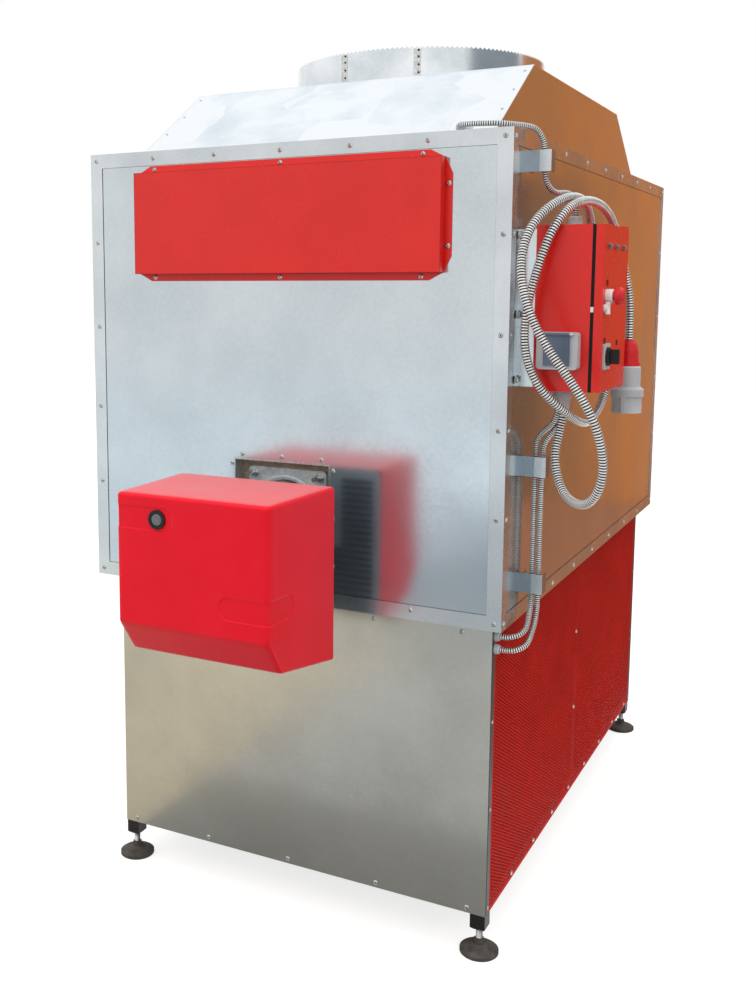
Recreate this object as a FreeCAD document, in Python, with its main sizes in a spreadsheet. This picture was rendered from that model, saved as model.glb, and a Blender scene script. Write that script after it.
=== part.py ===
import FreeCAD, Part

# Floor-standing warm-air heater with a gas burner on its front and a control box on its right side.
# Millimetres, +Z up, the front faces -Y. The origin lies on the floor under the middle of the whole
# object. Places are written from the middle of the cabinet, and every sub-part's Placement then
# carries the same shift to that origin.

import math
import operator
import os
from types import SimpleNamespace

import Sketcher
from FreeCAD import Placement, Rotation, Vector

SIZES = (
    # Upper cabinet
    ("casing_width", 1200, "left to right over the edge angles"),
    ("casing_depth", 1860, "front to rear over the edge angles"),
    ("casing_foot", 880, "floor to the cabinet's underside"),
    ("casing_height", 1185, "underside to top"),
    ("panel_sheet", 1.5, "sheet of the panels and the hood"),
    ("angle_leg", 38, "leg of the edge angles that shows"),
    ("angle_sheet", 2, "sheet of the edge angles"),
    ("seat_leg", 75, "inward leg of the bottom angles, which sits on the base"),
    # Base
    ("base_side_inset", 40, "base side behind the cabinet side"),
    ("base_end_inset", 60, "base front behind the cabinet front"),
    ("base_panel_foot", 110, "floor to the lower edge of the base panels"),
    ("tube_side", 40, "square tube of the base frame"),
    ("tube_wall", 3, "wall of that tube"),
    ("leg_foot", 75, "floor to the end of the leg tubes"),
    ("corner_return", 25, "fold of the base end panels round the corners"),
    ("grille_margin", 42, "plain strip round the intake grille"),
    ("grille_columns", 12, "openings along each half of a grille"),
    ("grille_rows", 12, "openings up a grille"),
    ("grille_strand", 16, "metal between two openings"),
    # Levelling feet
    ("insert_drop", 9, "leg insert that shows under the tube"),
    ("insert_grip", 30, "leg insert inside the tube"),
    ("stem_radius", 8, "threaded stem"),
    ("running_gap", 0.3, "radial room of what turns or slides"),
    ("pad_radius", 50, "foot disc"),
    ("pad_rim", 10, "height of the disc at its rim"),
    ("pad_hub", 26, "height of the disc at its hub"),
    ("nut_radius", 14, "across the corners of a foot's nut, halved"),
    ("nut_height", 12, "foot nut"),
    # Hood and outlet
    ("hood_side_inset", 85, "cabinet side to the hood side"),
    ("hood_end_inset", 110, "cabinet front to the foot of the hood"),
    ("hood_lean", 325, "how far the sloping sheets lean in"),
    ("hood_rise", 215, "height of the hood"),
    ("hood_flange", 25, "flange at the foot of the sloping sheets"),
    ("collar_radius", 388, "outside of the outlet collar"),
    ("collar_height", 106, "height of the outlet collar"),
    # Fascia plate
    ("fascia_width", 874, "raised face"),
    ("fascia_height", 268, "raised face"),
    ("fascia_drop", 193, "cabinet top to its middle"),
    ("fascia_rise", 28, "raised face in front of the panel"),
    ("fascia_flange", 19, "flange round the raised face"),
    ("fascia_end_cut", 37, "how much the long flanges are cut short"),
    ("fascia_side_cut", 38, "how much the short flanges are cut short"),
    # Burner port and burner
    ("burner_up", 234, "burner axis over the cabinet's underside"),
    ("port_width", 276, "opening in the front panel"),
    ("port_height", 270, "opening in the front panel"),
    ("port_depth", 41, "front panel to the chamber's face plate"),
    ("port_flange", 20, "flange of the port frame behind the panel"),
    ("tube_radius", 85, "blast tube, outside"),
    ("blast_wall", 4, "blast tube"),
    ("blast_reach", 180, "blast tube inside the chamber"),
    ("flange_side", 230, "burner flange"),
    ("flange_plate", 12, "burner flange"),
    ("stud_spacing", 195, "flange studs, in a square"),
    ("stud_thread", 6, "radius of a stud"),
    ("stud_reach", 50, "stud in front of the chamber's face plate"),
    ("burner_gap", 140, "cabinet front to the burner"),
    ("back_plate", 6, "burner back plate"),
    ("cover_width", 440, "burner cover at its rear"),
    ("cover_front_width", 408, "burner cover at its front"),
    ("cover_depth", 298, "burner cover, front to rear"),
    ("cover_rise", 110, "burner axis to the top of the cover"),
    ("cover_drop", 320, "burner axis to the rear lower edge of the cover"),
    ("cover_front_rise", 34, "rise of the cover's underside to the front"),
    ("cover_chamfer_height", 74, "sloping lower front"),
    ("cover_chamfer_depth", 28, "sloping lower front"),
    ("cover_round", 22, "edge rounding of the cover"),
    ("cover_wall", 4, "wall of the cover"),
    ("recess_depth", 2, "recesses in the cover's front"),
    ("reset_offset", 91, "reset button left of the burner axis"),
    ("reset_end", -75, "middle of the round end of the reset button's recess"),
    ("reset_recess", 28, "half height of that recess"),
    ("reset_up", 54, "reset button over the burner axis"),
    ("reset_radius", 15, "reset button"),
    ("reset_travel", 4, "reset button"),
    ("bezel_radius", 23, "ring round the reset button"),
    ("bezel_rise", 5, "ring in front of the cover"),
    ("badge_left", 74, "bare recess, left end, right of the burner axis"),
    ("badge_drop", 161, "burner axis to the lower edge of the bare recess"),
    ("badge_height", 60, "bare recess"),
    ("gas_radius", 31, "gas inlet socket, outside"),
    ("gas_bore", 22.4, "gas inlet socket, tapping radius"),
    ("gas_thread", 34, "depth of the gas tapping"),
    ("gas_reach", 170, "gas inlet from the burner axis"),
    ("gas_setback", 66, "gas inlet axis in front of the cabinet"),
    # Combustion chamber and heat exchanger
    ("chamber_radius", 215, "combustion drum"),
    ("chamber_wall", 3, "drum and smoke boxes"),
    ("face_plate", 8, "front plate of the drum"),
    ("box_face", 700, "smoke boxes, inner face from the middle"),
    ("smoke_box_depth", 100, "smoke boxes"),
    ("smoke_box_width", 660, "smoke boxes"),
    ("bank_low_up", 560, "cabinet underside to the underside of the tube banks"),
    ("bank_split_up", 740, "cabinet underside to between the two tube banks"),
    ("bank_high_up", 970, "cabinet underside to the top of the tube banks"),
    ("exchanger_radius", 30, "exchanger tubes"),
    ("exchanger_wall", 2, "exchanger tubes"),
    ("exchanger_pitch", 95, "exchanger tubes, side by side"),
    ("flue_radius", 100, "flue spigot, outside"),
    ("flue_up", 855, "cabinet underside to the flue axis"),
    ("flue_reach", 100, "flue spigot behind the cabinet"),
    ("flue_bead", 5, "rolled bead of the flue spigot, over its outside"),
    # Fan
    ("deck_sheet", 2, "deck between base and cabinet"),
    ("scroll_radius", 235, "first quarter of the fan scroll"),
    ("scroll_step", 45, "growth of the scroll per quarter"),
    ("scroll_width", 400, "fan scroll"),
    ("scroll_sheet", 2, "fan scroll"),
    ("inlet_radius", 165, "fan inlet"),
    ("wheel_radius", 200, "fan wheel"),
    ("wheel_width", 300, "fan wheel"),
    ("wheel_plate", 4, "back plate and rim of the wheel"),
    ("blade_count", 24, "blades of the wheel"),
    ("blade_depth", 45, "radial depth of a blade"),
    ("blade_sheet", 3, "blade"),
    ("hub_radius", 34, "wheel hub"),
    ("shaft_radius", 19, "fan shaft"),
    ("motor_radius", 108, "fan motor"),
    ("motor_end_room", 28.5, "fan motor to the middle post"),
    ("motor_gap", 30, "scroll to motor"),
    ("shaft_grip", 60, "shaft inside the motor"),
    ("motor_rail_spacing", 216, "cross rails under the motor"),
    # Control box
    ("box_standoff", 40, "cabinet side to the back of the box"),
    ("box_depth", 129, "control box body"),
    ("box_front", 66, "cabinet front to the box's front side"),
    ("box_width", 258, "control box, along the cabinet side"),
    ("box_drop", 219, "cabinet top to the top of the box"),
    ("box_height", 385, "control box"),
    ("box_sheet", 2, "box and door"),
    ("gasket_rise", 8, "door gasket"),
    ("gasket_width", 12, "door gasket"),
    ("door_depth", 19, "control box door"),
    ("door_gap", 0.5, "door to the hinge lugs"),
    ("hinge_radius", 6, "rolled hinge edge of the door"),
    ("hinge_pin", 3, "hinge pin radius"),
    ("hinge_pin_length", 22, "pin inside the door edge"),
    ("lug_sheet", 4, "hinge lugs on the box"),
    ("lug_length", 50, "hinge lugs on the box"),
    ("bracket_flange", 28, "box bracket on the cabinet side"),
    ("bracket_sheet", 2, "box bracket"),
    ("bracket_inset", 8, "bracket shorter than the box at each end"),
    ("bracket_tongue", 40, "bracket behind the box"),
    # Door fittings, across from the door's front edge and up from the box's underside
    ("stop_across", 39, "stop button"),
    ("stop_up", 222, "stop button"),
    ("stop_head", 20, "stop button head radius"),
    ("stop_stem", 11, "stop button stem radius"),
    ("stop_collar_rise", 16, "collar of the stop button"),
    ("stop_travel", 5, "stop button"),
    ("stop_head_rise", 20, "stop button head"),
    ("start_across", 202, "start button"),
    ("start_up", 221, "start button"),
    ("start_radius", 10, "start button"),
    ("start_rise", 10, "start button in front of the door"),
    ("start_collar_rise", 5, "collar of the start button"),
    ("start_travel", 3, "start button"),
    ("stem_inside", 12, "button stems behind the door's face"),
    ("lock_across", 21, "quarter-turn lock"),
    ("lock_up", 194, "quarter-turn lock"),
    ("lock_stem", 6, "quarter-turn lock"),
    ("lock_span", 14, "wing reach of the lock"),
    ("switch_across", 51, "main switch"),
    ("switch_up", 82, "main switch"),
    ("switch_side", 60, "main switch plate"),
    ("switch_plate_rise", 4, "main switch plate"),
    ("knob_radius", 22, "main switch knob"),
    ("knob_base", 7, "round base of the knob"),
    ("knob_grip", 20, "grip bar of the knob"),
    ("knob_grip_width", 13, "grip bar of the knob"),
    ("knob_shaft", 7, "knob shaft"),
    ("lamp_across", 42, "first pilot lamp"),
    ("lamp_pitch", 77, "pilot lamps"),
    ("lamp_up", 336, "pilot lamps"),
    ("lamp_radius", 5, "pilot lamp lens"),
    # Socket outlet on the box's front side
    ("socket_offset", 15, "box back to the socket"),
    ("socket_width", 95, "socket housing"),
    ("socket_height", 86, "socket housing"),
    ("socket_up", 53, "socket over the box's underside"),
    ("socket_depth", 30, "socket housing"),
    ("socket_bore", 20, "socket recess radius"),
    ("socket_bore_depth", 17, "socket recess"),
    ("lid_width", 60, "socket lid"),
    ("lid_height", 72, "socket lid, hinge axis to lower edge"),
    ("lid_sheet", 6, "socket lid"),
    ("lid_barrel", 4, "lid hinge barrel radius"),
    ("lid_pin", 1.6, "lid hinge pin radius"),
    ("lid_ear", 8, "lid hinge ears"),
    ("lid_axis_drop", 5, "lid hinge axis below the housing's top"),
    # Cable glands, clips, conduits and plug
    ("gland_radius", 15, "cable gland"),
    ("gland_length", 26, "cable gland"),
    ("clip_reach", 50, "conduit clip from the cabinet side"),
    ("clip_flange", 36, "conduit clip"),
    ("clip_height", 50, "conduit clip"),
    ("thin_radius", 7, "sensor and feed conduits"),
    ("thin_bore", 4.6, "sensor and feed conduits"),
    ("thin_pitch", 11, "ribs of the thin conduits"),
    ("cord_radius", 10, "supply conduit"),
    ("cord_bore", 7, "supply conduit"),
    ("cord_pitch", 17, "ribs of the supply conduit"),
    ("rib_height", 1.2, "ribs of all conduits"),
    ("cap_length", 66, "plug cap"),
    ("plug_length", 120, "plug body"),
    ("plug_radius", 32, "plug body"),
    ("plug_ring", 41, "plug ring radius"),
    ("plug_mouth", 37, "plug shroud radius"),
    ("shroud_wall", 3.5, "plug shroud"),
    ("shroud_depth", 38, "plug shroud"),
    ("pin_circle", 19, "plug pins, circle radius"),
    ("pin_radius", 3, "plug pins"),
)

# Routes of the conduits and places of the clips on the cabinet side, from the middle of the cabinet, chosen to
# follow the real ones and measured with the cabinet and the control box where MEASURED has them
MEASURED = ((560, 600, 640, 769), (-930, -864, -606), (880, 1461, 1846, 2065))
CORD_ROUTE = (
    (702, -810, 1435), (702, -810, 1405), (693, -814, 1355), (688, -830, 1304), (702, -843, 1244),
    (737, -877, 1206), (789, -927, 1206), (824, -961, 1244), (838, -974, 1304), (829, -990, 1375),
    (802, -997, 1440), (760, -999, 1502), (715, -999, 1560), (677, -997, 1620), (650, -990, 1686),
    (636, -975, 1754), (639, -948, 1820), (661, -908, 1872), (690, -850, 1905), (706, -785, 1915),
    (708, -715, 1911), (704, -655, 1899), (701, -604, 1870), (704, -574, 1806), (716, -567, 1722),
    (730, -564, 1632), (742, -561, 1540), (748, -566, 1465), (743, -594, 1412), (737, -650, 1383),
    (739, -730, 1375), (737, -800, 1384), (721, -858, 1410), (691, -893, 1443), (661, -911, 1483),
    (641, -917, 1530), (632, -917, 1585), (634, -913, 1642), (645, -910, 1704), (662, -904, 1770),
    (683, -892, 1834), (706, -853, 1884), (728, -788, 1906), (740, -715, 1905), (747, -645, 1892),
    (753, -585, 1862), (762, -545, 1810), (773, -524, 1745), (786, -516, 1678), (788, -515, 1620),
    (788, -515, 1569),
)
SENSOR_ROUTE = (
    (440, -838, 2084), (440, -853, 2084), (447, -871, 2084), (461, -884, 2083), (479, -891, 2083),
    (531, -890, 2081), (552, -884, 2080), (569, -871, 2079), (607, -820, 2077), (618, -804, 2069),
    (626, -792, 2054), (630, -784, 2036), (630, -777, 1968), (633, -767, 1948), (640, -751, 1934),
    (648, -731, 1927), (662, -697, 1931), (668, -684, 1928), (673, -673, 1921), (676, -664, 1910),
    (678, -660, 1896), (678, -660, 1873),
)
BURNER_ROUTE = (
    (680, -782, 1435), (680, -782, 1405), (674, -778, 1386), (664, -771, 1370), (635, -750, 1347),
    (623, -742, 1330), (617, -738, 1309), (617, -738, 943), (619, -748, 914), (622, -768, 891),
    (628, -811, 867), (625, -825, 859), (617, -837, 852), (604, -845, 848), (589, -850, 845),
    (574, -850, 845),
)
MOTOR_ROUTE = (
    (680, -752, 1435), (680, -752, 1388), (670, -749, 1360), (643, -741, 1328), (633, -738, 1300),
    (633, -738, 910), (633, -748, 881), (634, -768, 858), (634, -817, 830), (628, -832, 822),
    (615, -844, 816), (598, -850, 812), (574, -850, 812),
)
CLIP_PLACES = ((600, -796, 2000), (600, -764, 1262), (600, -764, 966))


class Formula:
    """A length worked out from the sheet: its number now, and the text that binds it to the cells."""

    def __init__(self, number, text):
        self.number = number
        self.text = text

    def __float__(self):
        return float(self.number)

    def __neg__(self):
        return Formula(-self.number, f"-({self.text})")

    def __add__(self, other):
        return joined(operator.add, "+", self, other)

    def __radd__(self, other):
        return joined(operator.add, "+", other, self)

    def __sub__(self, other):
        return joined(operator.sub, "-", self, other)

    def __rsub__(self, other):
        return joined(operator.sub, "-", other, self)

    def __mul__(self, other):
        return joined(operator.mul, "*", self, other)

    def __rmul__(self, other):
        return joined(operator.mul, "*", other, self)

    def __truediv__(self, other):
        return joined(operator.truediv, "/", self, other)


def number_of(value):
    return value.number if isinstance(value, Formula) else value


def text_of(value):
    return value.text if isinstance(value, Formula) else f"{value:.6f}"


def joined(action, sign, left, right):
    number = action(number_of(left), number_of(right))
    return Formula(number, f"({text_of(left)} {sign} {text_of(right)})")


doc = FreeCAD.newDocument("warm_air_heater")
sheet = doc.addObject("Spreadsheet::Sheet", "Sizes")
cells = {}
for row, (alias, number, meaning) in enumerate(SIZES, start=1):
    sheet.set(f"A{row}", alias)
    sheet.set(f"B{row}", str(number))
    sheet.set(f"C{row}", meaning)
    sheet.setAlias(f"B{row}", alias)
    cells[alias] = Formula(number, f"Sizes.{alias}")
doc.recompute()
S = SimpleNamespace(**cells)
NODES = {}

# Places that many sub-parts share
half_width = S.casing_width / 2
half_depth = S.casing_depth / 2
casing_top = S.casing_foot + S.casing_height
panel_half_width = half_width - S.angle_sheet
panel_half_depth = half_depth - S.angle_sheet
inner_half_width = panel_half_width - S.panel_sheet
inner_half_depth = panel_half_depth - S.panel_sheet
panel_foot = S.casing_foot + S.angle_sheet
panel_head = casing_top - S.angle_sheet
base_half_width = half_width - S.base_side_inset
base_half_depth = half_depth - S.base_end_inset
frame_half_width = base_half_width - S.panel_sheet
frame_half_depth = base_half_depth - S.panel_sheet
leg_x = frame_half_width - S.tube_side / 2
leg_y = frame_half_depth - S.tube_side / 2
rail_top = S.base_panel_foot + S.tube_side
deck_top = panel_foot + S.deck_sheet
hood_top = panel_head + S.hood_rise
hood_half_width = half_width - S.hood_side_inset
hood_foot = half_depth - S.hood_end_inset
hood_head = hood_foot - S.hood_lean
fascia_middle = casing_top - S.fascia_drop
chamber_face = panel_half_depth - S.panel_sheet - S.port_depth
burner_height = S.casing_foot + S.burner_up
burner_rear = half_depth + S.burner_gap
burner_front = burner_rear + S.cover_depth
cover_top = burner_height + S.cover_rise
cover_bottom = burner_height - S.cover_drop
reset_height = burner_height + S.reset_up
badge_foot = burner_height - S.badge_drop
bank_low = S.casing_foot + S.bank_low_up
bank_split = S.casing_foot + S.bank_split_up
bank_high = S.casing_foot + S.bank_high_up
flue_height = S.casing_foot + S.flue_up
motor_length = frame_half_width - S.tube_side - S.motor_end_room - S.motor_gap - S.scroll_width / 2
box_back = half_width + S.box_standoff
box_open = box_back + S.box_depth
door_back = box_open + S.gasket_rise
door_face = door_back + S.door_depth
box_near = S.box_front - half_depth
box_far = box_near + S.box_width
box_head = casing_top - S.box_drop
box_foot = box_head - S.box_height
stop_reach = S.stop_collar_rise + S.stop_travel + S.running_gap + S.stop_head_rise

landmarks = (
    (base_half_width, half_width, box_back, box_open), (-half_depth, box_near, box_far),
    (S.casing_foot, box_foot, box_head, casing_top),
)


def moved(value, measured, now):
    """A coordinate that keeps its share between two landmarks, or its distance from the outermost."""
    now = [float(mark) for mark in now]
    if value <= measured[0]:
        return value - measured[0] + now[0]
    if value >= measured[-1]:
        return value - measured[-1] + now[-1]
    first = max(i for i, mark in enumerate(measured) if mark <= value)
    share = (value - measured[first]) / (measured[first + 1] - measured[first])
    return now[first] + share * (now[first + 1] - now[first])


def follow(places):
    """Places on the cabinet side, carried along with the cabinet and the control box."""
    return [tuple(map(moved, place, MEASURED, landmarks)) for place in places]


cord_route, sensor_route = follow(CORD_ROUTE), follow(SENSOR_ROUTE)
burner_route, motor_route = follow(BURNER_ROUTE), follow(MOTOR_ROUTE)

# The middle of the whole object, seen from the middle of the cabinet
shift_x = -(door_face + stop_reach - half_width) / 2
shift_y = (burner_front + S.bezel_rise - S.recess_depth - half_depth - S.flue_reach) / 2

TURNS = {
    "X": Rotation(Vector(0, 1, 0), 90),
    "-X": Rotation(Vector(0, 1, 0), -90),
    "Y": Rotation(Vector(1, 0, 0), -90),
    "-Y": Rotation(Vector(1, 0, 0), 90),
    "Z": Rotation(),
    "-Z": Rotation(Vector(1, 0, 0), 180),
}


def place(item, x=0, y=0, z=0, axis="Z"):
    """Put a sub-part at a place seen from the cabinet's middle, its own Z along the given axis."""
    item.Placement = Placement(Vector(), TURNS[axis])
    item.setExpression("Placement.Base.x", text_of(shift_x + x))
    item.setExpression("Placement.Base.y", text_of(shift_y + y))
    item.setExpression("Placement.Base.z", text_of(z))
    return item


def new_body(name):
    return place(doc.addObject("PartDesign::Body", name))


def keep(label, item):
    item.Label = label
    NODES[label] = item
    return item


def group(label, members):
    """Several like pieces of one node, which stay separate solids."""
    compound = doc.addObject("Part::Compound", label)
    compound.Links = members
    return keep(label, compound)


def shaped(label, shape):
    """A sub-part whose form is made with Part's own functions."""
    item = doc.addObject("Part::Feature", label)
    item.Shape = shape
    place(item)
    return keep(label, item)


# Sketches, pads, pockets and turned forms


def rect(x0, x1, y0, y1):
    return [(x0, y0), (x1, y0), (x1, y1), (x0, y1)]


class Round:
    """A circle in a sketch."""

    def __init__(self, x, y, radius):
        self.x = x
        self.y = y
        self.radius = radius


def tie(sketch, index, value):
    sketch.setExpression(f"Constraints[{index}]", text_of(value))


def draw_round(sketch, circle):
    centre = Vector(float(circle.x), float(circle.y), 0)
    index = sketch.addGeometry(Part.Circle(centre, Vector(0, 0, 1), float(circle.radius)))
    first = sketch.ConstraintCount
    sketch.addConstraint([
        Sketcher.Constraint("DistanceX", -1, 1, index, 3, centre.x),
        Sketcher.Constraint("DistanceY", -1, 1, index, 3, centre.y),
        Sketcher.Constraint("Radius", index, float(circle.radius)),
    ])
    for step, value in enumerate((circle.x, circle.y, circle.radius)):
        tie(sketch, first + step, value)


def draw_outline(sketch, points):
    corners = [Vector(float(x), float(y), 0) for x, y in points]
    count = len(corners)
    lines = [Part.LineSegment(corners[i], corners[(i + 1) % count]) for i in range(count)]
    start = sketch.addGeometry(lines)[0]
    rules = [
        Sketcher.Constraint("Coincident", start + i, 2, start + (i + 1) % count, 1) for i in range(count)
    ]
    for i, corner in enumerate(corners):
        rules.append(Sketcher.Constraint("DistanceX", -1, 1, start + i, 1, corner.x))
        rules.append(Sketcher.Constraint("DistanceY", -1, 1, start + i, 1, corner.y))
    first = sketch.ConstraintCount + count
    sketch.addConstraint(rules)
    for i, (x, y) in enumerate(points):
        tie(sketch, first + 2 * i, x)
        tie(sketch, first + 2 * i + 1, y)


def sketch_on(body, plane, height, loops):
    sketch = body.newObject("Sketcher::SketchObject", "outline")
    support = next(item for item in body.Origin.OriginFeatures if item.Role == plane + "_Plane")
    sketch.AttachmentSupport = (support, [""])
    sketch.MapMode = "FlatFace"
    sketch.setExpression("AttachmentOffset.Base.z", text_of(height))
    for loop in loops:
        if isinstance(loop, Round):
            draw_round(sketch, loop)
        else:
            draw_outline(sketch, loop)
    return sketch


def raised(body, kind, plane, loops, low, high):
    """A pad or pocket between two heights on the axis square to the plane; XZ looks along -Y."""
    height = -high if plane == "XZ" else low
    sketch = sketch_on(body, plane, height, loops)
    feature = body.newObject(kind, "raised")
    feature.Profile = sketch
    feature.setExpression("Length", text_of(high - low))
    return feature


def pad(body, plane, loops, low, high):
    raised(body, "PartDesign::Pad", plane, loops, low, high)
    return body


def pocket(body, plane, loops, low, high):
    doc.recompute()
    before = body.Shape.Volume
    raised(body, "PartDesign::Pocket", plane, loops, low, high).Reversed = True
    doc.recompute()
    if body.Shape.Volume >= before:
        raise ValueError(f"a pocket of {body.Name} cuts nothing")
    return body


def turned(body, profile):
    """Revolve corners of (radius, height) about the body's own Z axis."""
    sketch = sketch_on(body, "XZ", 0, [profile])
    feature = body.newObject("PartDesign::Revolution", "turned")
    feature.Profile = sketch
    feature.ReferenceAxis = (sketch, ["V_Axis"])
    feature.Angle = 360
    return body


def dress(body, kind, size, wanted):
    """Round or chamfer the straight edges of the body whose middle passes the test."""
    doc.recompute()
    base = body.Tip
    names = []
    for number, edge in enumerate(base.Shape.Edges, start=1):
        middle = edge.valueAt((edge.FirstParameter + edge.LastParameter) / 2)
        if isinstance(edge.Curve, Part.Line) and wanted(middle, edge):
            names.append(f"Edge{number}")
    feature = body.newObject(kind, "dressed")
    feature.Base = (base, names)
    path = "Radius" if kind.endswith("Fillet") else "Size"
    feature.setExpression(path, text_of(size))
    return body


def hexagon(x, y, radius):
    return [
        (x + radius * math.cos(math.radians(60 * i)), y + radius * math.sin(math.radians(60 * i)))
        for i in range(6)
    ]


def square_ring(x0, x1, y0, y1, wall):
    return [rect(x0, x1, y0, y1), rect(x0 + wall, x1 - wall, y0 + wall, y1 - wall)]


def frame_ring(width, depth, x_wall, y_wall):
    """A rectangle of half sizes with a rectangular opening, both about the cabinet's middle."""
    return [
        rect(-width, width, -depth, depth),
        rect(x_wall - width, width - x_wall, y_wall - depth, depth - y_wall),
    ]


def mirrored(low, high, side):
    """A span on the positive side, or its mirror image on the negative side."""
    return (low, high) if side > 0 else (-high, -low)


# Base


def tube_post(name, x0, y0, low, high):
    loops = square_ring(x0, x0 + S.tube_side, y0, y0 + S.tube_side, S.tube_wall)
    return pad(new_body(name), "XY", loops, low, high)


def base_posts():
    posts = []
    for side in (-1, 1):
        x0 = mirrored(frame_half_width - S.tube_side, frame_half_width, side)[0]
        for end in (-1, 1):
            y0 = mirrored(frame_half_depth - S.tube_side, frame_half_depth, end)[0]
            posts.append(tube_post("corner_post", x0, y0, S.leg_foot, S.casing_foot))
        middle = tube_post("middle_post", x0, -S.tube_side / 2, rail_top, S.casing_foot - S.tube_side)
        posts.append(middle)
    group("base_posts", posts)


def base_rails():
    rails = []
    inner_x = frame_half_width - S.tube_side
    inner_y = frame_half_depth - S.tube_side
    for low in (S.base_panel_foot, S.casing_foot - S.tube_side):
        for side in (-1, 1):
            y0, y1 = mirrored(inner_y, frame_half_depth, side)
            loops = square_ring(y0, y1, low, low + S.tube_side, S.tube_wall)
            rails.append(pad(new_body("end_rail"), "YZ", loops, -inner_x, inner_x))
            x0, x1 = mirrored(inner_x, frame_half_width, side)
            loops = square_ring(x0, x1, low, low + S.tube_side, S.tube_wall)
            rails.append(pad(new_body("side_rail"), "XZ", loops, -inner_y, inner_y))
    for side in (-1, 1):
        y0 = S.motor_rail_spacing / 2 * side - S.tube_side / 2
        loops = square_ring(y0, y0 + S.tube_side, S.base_panel_foot, rail_top, S.tube_wall)
        rails.append(pad(new_body("motor_rail"), "YZ", loops, -inner_x, inner_x))
    group("base_rails", rails)


def leg_inserts():
    inserts = []
    half = S.tube_side / 2
    inside = half - S.tube_wall
    hole = Round(0, 0, S.stem_radius + S.running_gap)
    for side in (-1, 1):
        for end in (-1, 1):
            body = new_body("leg_insert")
            pad(body, "XY", [rect(-half, half, -half, half), hole], 0, S.insert_drop)
            dress(body, "PartDesign::Chamfer", S.insert_drop * 0.7,
                  lambda middle, edge: middle.z < 0.01)
            grip = S.insert_drop + S.insert_grip
            pad(body, "XY", [rect(-inside, inside, -inside, inside), hole], S.insert_drop, grip)
            place(body, leg_x * side, leg_y * end, S.leg_foot - S.insert_drop)
            inserts.append(body)
    group("leg_inserts", inserts)


def levelling_foot(label, side, end):
    stem_top = S.leg_foot + S.insert_grip - 5
    body = turned(new_body(label), [
        (0, 0), (S.pad_radius - 2, 0), (S.pad_radius, 2), (S.pad_radius, S.pad_rim),
        (S.pad_radius - 6, S.pad_rim + 4), (S.nut_radius + 8, S.pad_hub - 6),
        (S.nut_radius + 4, S.pad_hub), (S.stem_radius, S.pad_hub), (S.stem_radius, stem_top),
        (0, stem_top),
    ])
    pad(body, "XY", [hexagon(0, 0, S.nut_radius)], S.pad_hub - 1, S.pad_hub + S.nut_height)
    keep(label, place(body, leg_x * side, leg_y * end))


def base_end_panels():
    panels = []
    fold = base_half_depth - S.corner_return
    for end in (-1, 1):
        outer = base_half_depth * end
        inner = frame_half_depth * end
        edge = fold * end
        loop = [
            (-base_half_width, outer), (base_half_width, outer), (base_half_width, edge),
            (frame_half_width, edge), (frame_half_width, inner), (-frame_half_width, inner),
            (-frame_half_width, edge), (-base_half_width, edge),
        ]
        panels.append(pad(new_body("base_end_panel"), "XY", [loop], S.base_panel_foot, S.casing_foot))
    group("base_end_panels", panels)


def diamond(y, z, half_length, half_height):
    corners = [(y - half_length, z), (y, z - half_height), (y + half_length, z), (y, z + half_height)]
    return Part.makePolygon([Vector(0, *corner) for corner in corners + corners[:1]])


def intake_grilles():
    """Each side has one sheet with two fields of diamond openings, every other row set half over."""
    half_length = float(base_half_depth - S.corner_return)
    foot, head = float(S.base_panel_foot), float(S.casing_foot)
    margin = float(S.grille_margin)
    columns, rows = int(float(S.grille_columns)), int(float(S.grille_rows))
    pitch_y = (half_length - 1.5 * margin) / (columns + 0.5)
    pitch_z = (head - foot - 2 * margin) / rows
    strand = float(S.grille_strand)
    openings = []
    for field in (-half_length + margin, margin / 2):
        for row in range(rows):
            z = foot + margin + pitch_z * (row + 0.5)
            for column in range(columns):
                y = field + pitch_y * (column + 0.5 + 0.5 * (row % 2))
                openings.append(diamond(y, z, (pitch_y - strand) / 2, (pitch_z - strand * 0.6) / 2))
    corners = [(-half_length, foot), (half_length, foot), (half_length, head), (-half_length, head)]
    outside = Part.makePolygon([Vector(0, *corner) for corner in corners + corners[:1]])
    face = Part.makeFace([outside] + openings, "Part::FaceMakerBullseye")
    sheets = []
    for x in (-float(base_half_width), float(frame_half_width)):
        sheet_solid = face.extrude(Vector(float(S.panel_sheet), 0, 0))
        sheet_solid.translate(Vector(x, 0, 0))
        sheets.append(sheet_solid)
    shaped("intake_grilles", Part.makeCompound(sheets))


# Upper cabinet


def casing_bottom_frame():
    body = new_body("casing_bottom_frame")
    seat = frame_ring(half_width, half_depth, S.seat_leg, S.seat_leg)
    pad(body, "XY", seat, S.casing_foot, panel_foot)
    upright = frame_ring(half_width, half_depth, S.angle_sheet, S.angle_sheet)
    pad(body, "XY", upright, panel_foot, S.casing_foot + S.angle_leg)
    keep("casing_bottom_frame", body)


def casing_top_frame():
    body = new_body("casing_top_frame")
    cap = frame_ring(half_width, half_depth, S.angle_leg, S.angle_leg)
    pad(body, "XY", cap, panel_head, casing_top)
    upright = frame_ring(half_width, half_depth, S.angle_sheet, S.angle_sheet)
    pad(body, "XY", upright, casing_top - S.angle_leg, panel_head)
    keep("casing_top_frame", body)


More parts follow.
